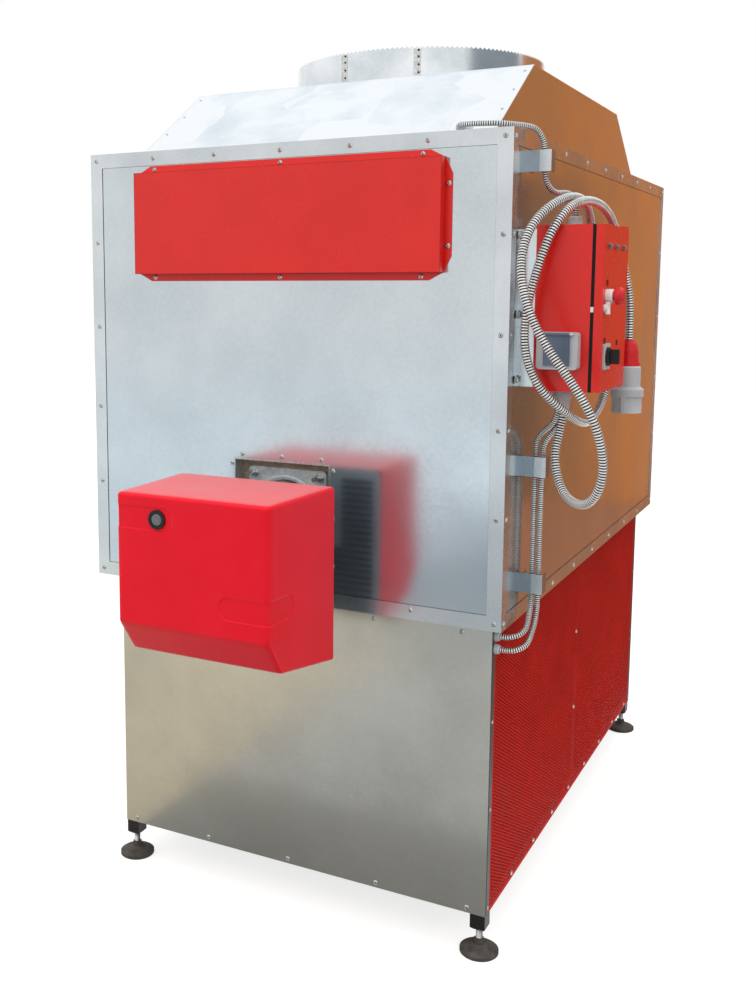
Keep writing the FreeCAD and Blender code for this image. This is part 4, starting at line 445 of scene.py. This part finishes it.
def fold_lines():
    """Painted shadow lines in the fascia's bends, round its face and at the foot of its walls, and the clips' tabs."""
    low, high = corners("fascia_plate")
    middle, flange, wide, lap = (low + high) / 2, 0.019, 0.0011, 0.0001
    half = np.array([high[0] - middle[0] - flange, high[2] - middle[2] - flange])
    # Painted shadow bars round the face and at the foot of its walls
    round_face = frame_bars(middle, half - wide, half + lap, low[1] - 0.00015, low[1] + wide)
    at_foot = frame_bars(middle, half - lap, half + wide, high[1] - 0.0022, high[1] - 0.001)
    make_piece("fascia_fold_shadows", *bars(np.concatenate([round_face, at_foot])), "dark_red", "red_sheet", smooth=False)
    # The tabs lie flat on the clips in the lighter angle zinc: a painted highlight on each folded tab
    places = at([(636.5, -796.6, 2000), (636.5, -764.6, 1262), (636.5, -764.6, 966)])
    tab = np.array([(-0.014, -0.0006, -0.025), (0.0142, 0.0006, 0.025)])
    make_piece("clip_tabs", *bars(places[:, None] + tab), "edge", "galvanised", smooth=False)


# Outlet collar


def outlet_collar():
    """Rolled ring with a foot flange and a fine toothed top edge, its lap seams and their rivets.

    A section of (radius, height) is carried round the circle. The two points on the top edge drop by the
    tooth depth wherever a square wave of the angle is low.
    """
    teeth, per_tooth, tooth = 170, 4, 0.004
    flange, sheet, waist = 0.025, 0.0015, 0.05
    columns = teeth * per_tooth
    angle = np.linspace(0, 2 * math.pi, columns, endpoint=False)
    foot, top = collar_low[2], collar_high[2]
    outer = (collar_high[0] - collar_low[0]) / 2 - flange
    section = np.array([
        (outer - sheet, foot), (outer + flange, foot), (outer + flange, foot + sheet), (outer, foot + sheet),
        (outer, foot + waist), (outer, top), (outer - sheet, top), (outer - sheet, foot + waist),
    ])
    low = (np.arange(columns) % per_tooth) >= per_tooth / 2
    heights = np.tile(section[:, 1:], (1, columns))
    heights[5:7] -= tooth * low
    circle = np.stack([np.cos(angle), np.sin(angle)], -1)
    verts = np.concatenate([MIDDLE[:2] + section[:, :1, None] * circle, heights[..., None]], -1)
    faces = grid_faces(len(section) + 1, columns) % (len(section) * columns)
    piece = make_piece("toothed_collar", verts, faces, "collar_sheet", "galvanised", smooth=False)
    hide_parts("outlet_collar")
    bearings = np.radians([-102.4, -68.9, 60.0, 118.0, 176.0])
    count = len(bearings)
    lap, proud, sunk = np.radians([0.0, 0.0, 1.1, 2.2, 3.3, 3.3]), 0.0009, -0.0005
    reach = outer + np.array([sunk, proud, proud, proud, proud, sunk])
    turn = bearings[:, None] - lap[3] + lap
    strip = np.stack([reach * np.cos(turn), reach * np.sin(turn)], -1) + MIDDLE[:2]
    ends = np.array([foot + 0.004, top - 0.006])
    laps = np.concatenate([np.broadcast_to(strip[:, None], (count, 2, len(lap), 2)),
                           np.broadcast_to(ends[None, :, None, None], (count, 2, len(lap), 1))], -1)
    faces = repeat(grid_faces(2, len(lap), False), count, 2 * len(lap))
    make_piece("collar_laps", laps, faces, "zinc", "galvanised", smooth=False)
    rises = np.array([10.0, 34.0, 56.0, 78.0, 96.0]) + foot * 1000
    rivets = []
    for way in np.stack([np.cos(bearings), np.sin(bearings), 0 * bearings], 1):
        place = way * (outer + proud) * 1000
        rivets.append((row_of(place, z=rises), way))
    heads("collar_rivets", FLAT_RIVET, 10, rivets, "iron", "dark_steel")


# Burner


def burner_details():
    """Ring on the burner flange, fibre gasket and bright rim of the port, and louvres in the back plate."""
    low, high = corners("burner_flange")
    middle = (low + high) / 2
    ring = [(86, 7), (90, 9), (97, 9), (100, 7), (101, 0)]
    make_piece("flange_ring", *turned_heads(ring, 64, [(middle[0], low[1], middle[2])], [FRONT]), "cast", "zinc")
    flange_half, opening, thick = 0.115, np.array([0.138, 0.135]), 0.003
    gasket = frame_bars(middle, flange_half, opening, high[1] - thick, high[1])
    make_piece("port_gasket", *bars(gasket), "fibre", "dark_steel", smooth=False)
    front, rim_wide, rim_deep = MIDDLE[1] - 0.9284, 0.0032, 0.0022
    rim = frame_bars(middle, opening, opening + rim_wide, front - rim_deep, front)
    make_piece("port_rim", *bars(rim), "zinc", "galvanised", smooth=False)
    low, high = corners("burner_back_plate")
    pitch, slat, proud, margin = 0.0172, 0.0075, 0.004, 0.03
    beside, outside = 0.112, 0.202
    foot = np.arange(low[2] + margin, high[2] - margin, pitch)
    span = np.where((foot < middle[2] - flange_half)[:, None], (0.0, outside), (beside, outside))
    slats = [np.stack([np.sort(middle[0] + side * span), np.tile([high[1], high[1] + proud], (len(foot), 1)),
                       foot[:, None] + (0, slat)], -1) for side in (-1, 1)]
    make_piece("back_louvres", *bars(np.concatenate(slats)), "iron", "dark_steel", smooth=False)


def burner_cover():
    """Moulded cover: a plan outline carried up in rows, with a sloping lower front and two shallow recesses.

    The outline runs from the rear of the left side round the front to the rear of the right side. Each row
    gives its height, how far its front stands and how far it is drawn in at the rounded edges. The first and
    last rows shrink to the middle of the rear edge and close the underside and the top. Points whose place on
    the unrolled wall lies inside a recess's round-ended outline move inwards by the recess's depth.
    """
    rear, depth, half_rear, half_front, edge = 1070.0, 298.0, 222.0, 206.0, 9.0
    foot, top, front_rise = 792.0, 1225.0, 34.0
    slope_height, slope_depth, recess, level = 84.0, 60.0, 1.8, 900.0
    sign_low, sign_high, sign_left, sign_right = 953.0, 1009.0, 76.0, half_front + 114.0
    button_x, button_z, button_hole, slot_end, slot_radius = -91.0, 1168.0, 16.5, -75.0, 28.0
    turn = np.linspace(0, math.pi / 2, 7)[1:-1]
    fine = np.concatenate([np.linspace(-half_front, -120, 6), np.linspace(-112, -44, 46), np.linspace(-20, 70, 5),
                           np.linspace(74, 108, 24), np.linspace(125, half_front, 6)])
    front_x = fine[np.abs(fine) < half_front - edge - 1]
    side_y = np.concatenate([np.linspace(0, depth - 125, 8), np.linspace(depth - 122, depth - 84, 26),
                             np.linspace(depth - 70, depth - edge, 5)])
    side_x = half_rear - (half_rear - half_front) * side_y / depth
    right_x = np.concatenate([half_front - edge * (1 - np.cos(turn[::-1])), side_x[::-1]])
    right_y = np.concatenate([depth - edge * (1 - np.sin(turn[::-1])), side_y[::-1]])
    plan_x = np.concatenate([-right_x[::-1], front_x, right_x])
    plan_y = np.concatenate([right_y[::-1], np.full(len(front_x), depth), right_y])
    wall = np.concatenate([np.linspace(foot + edge, 940, 16), np.linspace(948, 1014, 46), np.linspace(1030, 1130, 8),
                           np.linspace(1137, 1199, 44), np.linspace(1206, top - edge, 3)])
    bend = np.linspace(0, math.pi / 2, 6)
    cap = np.array([0.0, 0.3, 0.65, 0.93])
    height = np.concatenate([np.full(4, foot), foot + edge * (1 - np.cos(bend)), wall[1:-1],
                             top - edge + edge * np.sin(bend), np.full(4, top)])
    drawn = np.concatenate([np.full(4, edge), edge * (1 - np.sin(bend)), 0 * wall[1:-1], edge * (1 - np.cos(bend)),
                            np.full(4, edge)])
    scale = np.concatenate([cap, np.ones(len(height) - 8), cap[::-1]])
    z = height[:, None] + front_rise * plan_y / depth * np.clip((level - height) / (level - foot), 0, 1)[:, None]
    set_back = slope_depth * np.clip((foot + front_rise + slope_height - z) / slope_height, 0, 1)
    x = plan_x * (1 - drawn[:, None] / half_rear)
    y = plan_y * (1 - (set_back + drawn[:, None]) / depth)
    unrolled = plan_x + np.sign(plan_x) * (depth - plan_y) * (np.abs(plan_x) >= half_front - edge)
    middle, radius = (sign_low + sign_high) / 2, (sign_high - sign_low) / 2
    beyond = unrolled - np.clip(unrolled, sign_left + radius, sign_right - radius)
    inside = np.hypot(beyond, height[:, None] - middle) < radius
    beyond = unrolled - np.minimum(unrolled, slot_end)
    inside |= np.hypot(beyond, height[:, None] - button_z) < slot_radius
    inside &= (scale == 1)[:, None]
    sink = np.where(inside, recess, 0.0)
    x = (x - sink * np.sign(x) * (plan_y < depth - 1)) * scale[:, None]
    y = (y - sink * (plan_y > depth - 1)) * scale[:, None]
    rows, columns = x.shape
    verts = at(np.stack([x, -rear - y, z], -1))
    quads = grid_faces(rows, columns, closed=False)
    centre = np.stack([x, z], -1).reshape(-1, 2)[quads].mean(1)
    hole = np.hypot(centre[:, 0] - button_x, centre[:, 1] - button_z) < button_hole
    hole &= y.reshape(-1)[quads].min(1) > depth - 5
    piece = make_piece("burner_cover_shell", verts, quads[~hole], "cover", "red_plastic")
    piece.data.set_sharp_from_angle(angle=math.radians(28))
    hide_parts("burner_cover")


def box_details():
    """Bare black tags on the door, a latch in the gap beside its seal, a gland cap nut and a strain relief."""
    _, door_high = corners("box_door")
    tags = at([(0, -829, 1580), (0, -700, 1571), (0, -821, 1713)])
    tags[:, 0] = door_high[0]
    tag = np.array([(-0.0005, -0.006, -0.0065), (0.0009, 0.006, 0.0065)])
    make_piece("door_tags", *bars(tags[:, None] + tag), "black", "black_plastic", "door", smooth=False)
    latch = at([(769.8, -866.5, 1646), (776.4, -863.9, 1658)])
    make_piece("door_latch", *bars(latch), "white", "white_plastic", smooth=False)
    cap = [(7.2, 26.5), (12.5, 26), (15.5, 23), (17, 17), (17, 6), (18.5, 5.5), (18.5, 0)]
    heads("sensor_gland_cap", cap, 24, [([(678, -660, 1850)], UP)], "grey", "grey_plastic")
    sleeve = [(9.6, 28), (11.0, 28), (11.5, 26), (14.0, 3), (14.4, 0)]
    heads("supply_strain_relief", sleeve, 28, [(CORD_ROUTE[:1], DOWN)], "grey", "grey_plastic")


# Intake grilles


def mesh_field(name, x_face, y_low, y_high, z_low, z_high, ends):
    """Perforated sheet: a staggered lattice of diamond cells, each with a smaller diamond hole.

    Every cell is a ring of four quads on the outer face between the cell's outline and its hole, and four
    quads for the hole's wall. The cells on the two end lines belong to the field that counts them as its ends.
    """
    wide, high, share, sheet = 0.0165, 0.0092, 0.72, 0.001
    columns, rows = int((y_high - y_low) / wide), int((z_high - z_low) / high)
    wide, high = (y_high - y_low) / columns, (z_high - z_low) / rows
    lattices = [(np.arange(columns) + 0.5, np.arange(rows) + 0.5), (np.arange(columns + ends), np.arange(1, rows))]
    cells = [np.stack(np.meshgrid(*lattice, indexing="ij"), -1).reshape(-1, 2) for lattice in lattices]
    cells = np.concatenate(cells) * (wide, high) + (y_low, z_low)
    corner = np.array([(-0.5, 0), (0, -0.5), (0.5, 0), (0, 0.5)]) * (wide, high)
    outline, hole = cells[:, None] + corner, cells[:, None] + corner * share
    outward = math.copysign(1, x_face)
    side = np.full(outline.shape[:2] + (1,), x_face + MIDDLE[0])
    back = side - outward * sheet
    loops = ((side, outline), (side, hole), (back, hole))
    verts = np.concatenate([np.concatenate(loop, 2) for loop in loops], 1)
    i = np.arange(4)
    j = (i + 1) % 4
    one = np.concatenate([np.stack([i, j, j + 4, i + 4], 1), np.stack([i + 4, j + 4, j + 8, i + 8], 1)])
    faces = repeat(one, len(cells), 12)
    if outward < 0:
        faces = faces[:, ::-1]
    piece = make_piece(name, verts, faces, "red_grille", "red_sheet", smooth=False)
    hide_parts("intake_grilles")


def intake_grilles():
    """On each side a perforated field, drawn as two halves that meet, in a narrow plain border.

    A near-black sheet behind the holes is painted shade; the end panels' folds by the border are painted dark
    reflection.
    """
    low, high = corners("intake_grilles")
    edge, sheet = 0.012, 0.0015
    shade_sheet_inset, shade_sheet_depth, shade_sheet_half = 0.004, 0.0045, 0.0005
    fold_rise, fold_near, fold_far = 0.001, 0.001, 0.0225
    y_low, y_high, z_low, z_high = low[1], high[1], low[2], high[2]
    middle = (y_low + y_high) / 2
    for label, x_face in (("left", low[0] - MIDDLE[0]), ("right", high[0] - MIDDLE[0])):
        mesh_field(f"grille_{label}_front", x_face, y_low + edge, middle, z_low + edge, z_high - edge, 0)
        mesh_field(f"grille_{label}_rear", x_face, middle, y_high - edge, z_low + edge, z_high - edge, 1)
        face, outward = x_face + MIDDLE[0], math.copysign(1, x_face)
        x = sorted((face, face - outward * sheet))
        border = [
            [(x[0], y_low, z_low), (x[1], y_high, z_low + edge)],
            [(x[0], y_low, z_high - edge), (x[1], y_high, z_high)],
            [(x[0], y_low, z_low + edge), (x[1], y_low + edge, z_high - edge)],
            [(x[0], y_high - edge, z_low + edge), (x[1], y_high, z_high - edge)],
        ]
        # A near-black sheet behind the holes: painted shade of the inside of the base
        inner = face - outward * shade_sheet_depth
        shade_sheet = [(inner - shade_sheet_half, y_low + shade_sheet_inset, z_low + shade_sheet_inset),
               (inner + shade_sheet_half, y_high - shade_sheet_inset, z_high - shade_sheet_inset)]
        make_piece(f"grille_{label}_mat", *bars(shade_sheet), "filter", "seal", smooth=False)
        # The folds are painted dark grey: a painted dark reflection
        x = sorted((face, face + outward * fold_rise))
        folds = [[(x[0], y_low - fold_far, z_low), (x[1], y_low - fold_near, z_high)],
                 [(x[0], y_high + fold_near, z_low), (x[1], y_high + fold_far, z_high)]]
        make_piece(f"base_{label}_folds", *bars(folds), "fold_sheet", "galvanised", smooth=False)
        piece = make_piece(f"grille_{label}_border", *bars(border), "red_grille", "red_sheet", smooth=False)
        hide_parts("intake_grilles")


# Conduits, with the routes of the CAD model in millimetres from the cabinet's middle

CORD_ROUTE = [
    (702, -810, 1435), (702, -810, 1405), (693, -814, 1355), (688, -830, 1304), (702, -843, 1244),
    (737, -877, 1206), (789, -927, 1206), (824, -961, 1244), (838, -974, 1304), (829, -990, 1375),
    (802, -997, 1440), (760, -999, 1502), (715, -999, 1560), (677, -997, 1620), (650, -990, 1686),
    (636, -975, 1754), (639, -948, 1820), (661, -908, 1872), (690, -850, 1905), (706, -785, 1915),
    (708, -715, 1911), (704, -655, 1899), (701, -604, 1870), (704, -574, 1806), (716, -567, 1722),
    (730, -564, 1632), (742, -561, 1540), (748, -566, 1465), (743, -594, 1412), (737, -650, 1383),
    (739, -730, 1375), (737, -800, 1384), (721, -858, 1410), (691, -893, 1443), (661, -911, 1483),
    (641, -917, 1530), (632, -917, 1585), (634, -913, 1642), (645, -910, 1704), (662, -904, 1770),
    (683, -892, 1834), (706, -853, 1884), (728, -788, 1906), (740, -715, 1905), (747, -645, 1892),
    (753, -585, 1862), (762, -545, 1810), (773, -524, 1745), (786, -516, 1678), (788, -515, 1620),
    (788, -515, 1569),
]
SENSOR_ROUTE = [
    (440, -838, 2084), (440, -853, 2084), (447, -871, 2084), (461, -884, 2083), (479, -891, 2083),
    (531, -890, 2081), (552, -884, 2080), (569, -871, 2079), (607, -820, 2077), (618, -804, 2069),
    (626, -792, 2054), (630, -784, 2036), (630, -777, 1968), (633, -767, 1948), (640, -751, 1934),
    (648, -731, 1927), (662, -697, 1931), (668, -684, 1928), (673, -673, 1921), (676, -664, 1910),
    (678, -660, 1896), (678, -660, 1873),
]
BURNER_ROUTE = [
    (680, -782, 1435), (680, -782, 1405), (674, -778, 1386), (664, -771, 1370), (635, -750, 1347),
    (623, -742, 1330), (617, -738, 1309), (617, -738, 943), (619, -748, 914), (622, -768, 891),
    (628, -811, 867), (625, -825, 859), (617, -837, 852), (604, -845, 848), (589, -850, 845),
    (574, -850, 845),
]
MOTOR_ROUTE = [
    (680, -752, 1435), (680, -752, 1388), (670, -749, 1360), (643, -741, 1328), (633, -738, 1300),
    (633, -738, 910), (633, -748, 881), (634, -768, 858), (634, -817, 830), (628, -832, 822),
    (615, -844, 816), (598, -850, 812), (574, -850, 812),
]


def smooth_line(name, route):
    """Points along the NURBS spline that has the route as its control points."""
    places = at(route)
    curve = bpy.data.curves.new(name, "CURVE")
    curve.dimensions = "3D"
    curve.resolution_u = 16
    spline = curve.splines.new("NURBS")
    spline.points.add(len(places) - 1)
    spline.points.foreach_set("co", np.concatenate([places, np.ones((len(places), 1))], 1).ravel())
    spline.order_u = 3
    spline.use_endpoint_u = True
    holder = bpy.data.objects.new(name, curve)
    bpy.context.scene.collection.objects.link(holder)
    bpy.context.view_layer.update()
    mesh = bpy.data.meshes.new_from_object(holder.evaluated_get(bpy.context.evaluated_depsgraph_get()))
    points = np.zeros(len(mesh.vertices) * 3)
    mesh.vertices.foreach_get("co", points)
    bpy.data.objects.remove(holder)
    bpy.data.curves.remove(curve)
    bpy.data.meshes.remove(mesh)
    return points.reshape(-1, 3)


def ribbed_tube(points, stations, radii, sides, aside):
    """Circles of the given radii square to the line at distances along it.

    The line's way is its slope, evened out over 13 stations. Each circle starts square to that way and to the
    fixed direction aside, which the line never follows.
    """
    window = 13
    steps = np.linalg.norm(np.diff(points, axis=0), axis=1)
    along = np.concatenate([[0], np.cumsum(steps)])
    centre = np.stack([np.interp(stations, along, points[:, k]) for k in range(3)], 1)
    way = np.gradient(centre, axis=0)
    padded = np.pad(way, ((window // 2, window // 2), (0, 0)), mode="edge")
    way = np.stack([np.convolve(padded[:, k], np.ones(window) / window, "valid") for k in range(3)], 1)
    way /= np.linalg.norm(way, axis=1, keepdims=True)
    across = np.cross(way, np.array(aside, float))
    across /= np.linalg.norm(across, axis=1, keepdims=True)
    up = np.cross(way, across)
    angle = np.linspace(0, 2 * math.pi, sides, endpoint=False)
    circle = across[:, None] * np.cos(angle)[None, :, None] + up[:, None] * np.sin(angle)[None, :, None]
    return centre[:, None] + radii[:, None, None] * circle


def conduit(name, node, route, crest, depth, pitch, sides, aside):
    """Wound steel conduit along a route: round ribs with narrow grooves between them.

    The radius is the crest less the depth times the fourth power of a cosine, one groove for each pitch of
    length. That power is also kept as the groove attribute. Returns the piece, its line's points and its length.
    """
    rings_per_rib = 6
    points = smooth_line(name, route)
    length = np.linalg.norm(np.diff(points, axis=0), axis=1).sum()
    ribs = int(length / pitch)
    stations = np.linspace(0, length, ribs * rings_per_rib + 1)
    groove = np.cos(math.pi * ribs * stations / length) ** 4
    rings = ribbed_tube(points, stations, crest - depth * groove, sides, aside)
    rings = np.concatenate([0 * rings[:1] + points[0], rings, 0 * rings[:1] + points[-1]])
    piece = make_piece(name, rings, grid_faces(len(rings), sides), "conduit", "conduit")
    shade = piece.data.attributes.new("groove", "FLOAT", "POINT")
    shade.data.foreach_set("value", np.repeat(np.concatenate([[1.0], groove, [1.0]]), sides))
    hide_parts(node)
    return piece, points, length


def conduits():
    """The supply conduit, wound twice over the control box, and the three thin ones."""
    piece, points, length = conduit("supply_conduit_ribs", "supply_conduit", CORD_ROUTE, crest=0.0105, depth=0.0024,
                                    pitch=0.0066, sides=20, aside=(0.74, -0.2, 0.06))
    for name, node, route, aside in (
        ("sensor_conduit_ribs", "sensor_conduit", SENSOR_ROUTE, (0.5, 0.3, 0.8)),
        ("burner_feed_ribs", "feed_conduits", BURNER_ROUTE, (0.5, 0.8, 0.3)),
        ("motor_feed_ribs", "feed_conduits", MOTOR_ROUTE, (0.5, 0.8, 0.3)),
    ):
        conduit(name, node, route, crest=0.007, depth=0.0015, pitch=0.0054, sides=16, aside=aside)


# Stage, light and camera


def seen_rays(tree):
    """1 for the rays that show the background: those of the camera, of mirrors and through glass."""
    path = add(tree, "ShaderNodeLightPath").outputs
    seen = add(tree, "ShaderNodeMath", {"operation": "MAXIMUM"}, in_0=path["Is Camera Ray"], in_1=path["Is Glossy Ray"])
    return add(tree, "ShaderNodeMath", {"operation": "MAXIMUM"}, in_0=seen.outputs[0],
               in_1=path["Is Transmission Ray"]).outputs[0]


def stage_sheet(name, outline, code, glow=0.0):
    """A flat matt sheet of the stage, given by its four corners in metres, with a glow that only shown rays see."""
    mesh = bpy.data.meshes.new(name)
    mesh.from_pydata(outline, [], [(0, 1, 2, 3)])
    material, tree, shader, _ = new_material(name, {
        "Base Color": colour(code), "Roughness": 0.9, "Specular IOR Level": 0.1, "Emission Color": grey(1.0)})
    if glow:
        light = add(tree, "ShaderNodeMath", {"operation": "MULTIPLY", 1: glow}, in_0=seen_rays(tree)).outputs[0]
        tree.links.new(light, shader.inputs["Emission Strength"])
    mesh.materials.append(material)
    sheet = bpy.data.objects.new(name, mesh)
    bpy.context.scene.collection.objects.link(sheet)
    return sheet


def card(name, outline, code):
    """A coloured card out of view that only mirrors see, as a photographer sets one beside bright metal."""
    sheet = stage_sheet(name, outline, code)
    sheet.visible_camera = sheet.visible_diffuse = sheet.visible_shadow = False


def ground(x_low, x_high, y_low, y_high, z=0.003):
    """Corners of a stretch of ground just above the floor."""
    return [(x_low, y_low, z), (x_high, y_low, z), (x_high, y_high, z), (x_low, y_high, z)]


def wall(x_low, x_high, z_low=0.0, z_high=4.5):
    """Corners of a stretch of the slanting wall behind the right side."""
    start_x, start_y, slant = 0.9, 6.0, 0.314
    near, far = [(x, start_y - (x - start_x) * slant) for x in (x_low, x_high)]
    return [(*near, z_low), (*far, z_low), (*far, z_high), (*near, z_high)]


def soft_light(name, place, target, size, radiance):
    """A large soft lamp that mirrors don't see; its power follows from its size and how bright its face is."""
    light = bpy.data.lights.new(name, "AREA")
    light.shape = "RECTANGLE"
    light.size, light.size_y = size
    light.energy = radiance * math.pi * size[0] * size[1]
    lamp = bpy.data.objects.new(name, light)
    bpy.context.scene.collection.objects.link(lamp)
    lamp.visible_glossy = False
    lamp.location = place
    way = np.array(target, float) - np.array(place, float)
    lamp.rotation_euler = (math.acos(-way[2] / np.linalg.norm(way)), 0, math.atan2(way[1], way[0]) - math.pi / 2)


def studio():
    """White floor and background, cards out of view that the bright sheets mirror, soft light from above."""
    stage_sheet("floor", [(-16, -16, 0), (16, -16, 0), (16, 16, 0), (-16, 16, 0)], "A3A09B", 0.76)
    for name, outline, code in (
        ("warm_wall", wall(0.9, 1.94), "DE8848"),
        ("shaded_wall", wall(1.94, 2.16, 0, 2.55), "B07C58"),
        ("dim_wall", wall(2.16, 6.0, 0, 2.55), "765B4B"),
        ("upper_wall", wall(1.94, 6.0, 2.55, 4.5), "CC8450"),
        ("grey_wall", [(7, -3, 0), (7, 4.4, 0), (7, 4.4, 6), (7, -3, 6)], "9AA1A9"),
        ("warm_ground", ground(0.62, 6, 0.4, 6), "9C6444"),
        ("beige_ground", ground(-2.9, -0.75, -3.4, -0.72), "C2BBA8"),
        ("grey_ground", ground(-0.75, 3, -3.4, -1.3), "AFB2B2"),
        ("near_ground", ground(-0.75, 3, -1.3, -0.72), "939593"),
        ("middle_ground", ground(-12, -1.4, -6.5, -3.4), "CAD2D8"),
        ("shaded_ground", ground(-1.4, 6, -6.5, -3.4), "8D949A"),
        ("far_ground", ground(-14, 6, -16, -6.5), "DDE4E8"),
    ):
        card(name, outline, code)
    world = bpy.data.worlds.new("studio")
    bpy.context.scene.world = world
    world.use_nodes = True
    tree = world.node_tree
    coords = add(tree, "ShaderNodeTexCoord").outputs["Generated"]
    height = add(tree, "ShaderNodeSeparateXYZ", None, Vector=coords).outputs["Z"]
    lift = add(tree, "ShaderNodeMapRange", {"From Min": -0.1, "From Max": 0.9}, Value=height).outputs[0]
    sky = ramp(tree, lift, (0.0, grey(0.36)), (1.0, grey(1.58)))
    shown = add(tree, "ShaderNodeMix", {"data_type": "RGBA", 7: grey(1.0)}, in_0=seen_rays(tree), in_6=sky)
    tree.links.new(shown.outputs[2], tree.nodes["Background"].inputs["Color"])
    soft_light("key", (-4.5, -6.5, 5.6), (-0.1, -0.2, 1.2), (9.0, 6.5), 0.86)
    soft_light("side", (6.5, -3.0, 4.0), (0.4, 0.1, 1.2), (4.0, 4.0), 0.95)
    soft_light("top", (0.0, 0.2, 5.6), (0.0, 0.21, 1.5), (6.0, 6.0), 0.42)


def camera():
    """The photograph's viewpoint: 40.4 mm lens on a 36 mm high frame, with its framing shift."""
    tilt_down, turn_left = 7.34, 28.73
    lens = bpy.data.cameras.new("camera")
    lens.sensor_fit = "VERTICAL"
    lens.sensor_height = 36
    lens.lens = 40.396
    lens.shift_x, lens.shift_y = 0.1022, -0.0714
    lens.clip_end = 60
    view = bpy.data.objects.new("camera", lens)
    bpy.context.scene.collection.objects.link(view)
    view.location = at((1388, -3495, 1705))
    view.rotation_euler = (math.radians(90 - tilt_down), 0, math.radians(turn_left))
    bpy.context.scene.camera = view


camera()
studio()
conduits()
outlet_collar()
intake_grilles()
fasteners()
seams()
fold_lines()
feet()
burner_details()
burner_cover()
box_details()
bpy.context.scene.view_settings.view_transform = "Standard"
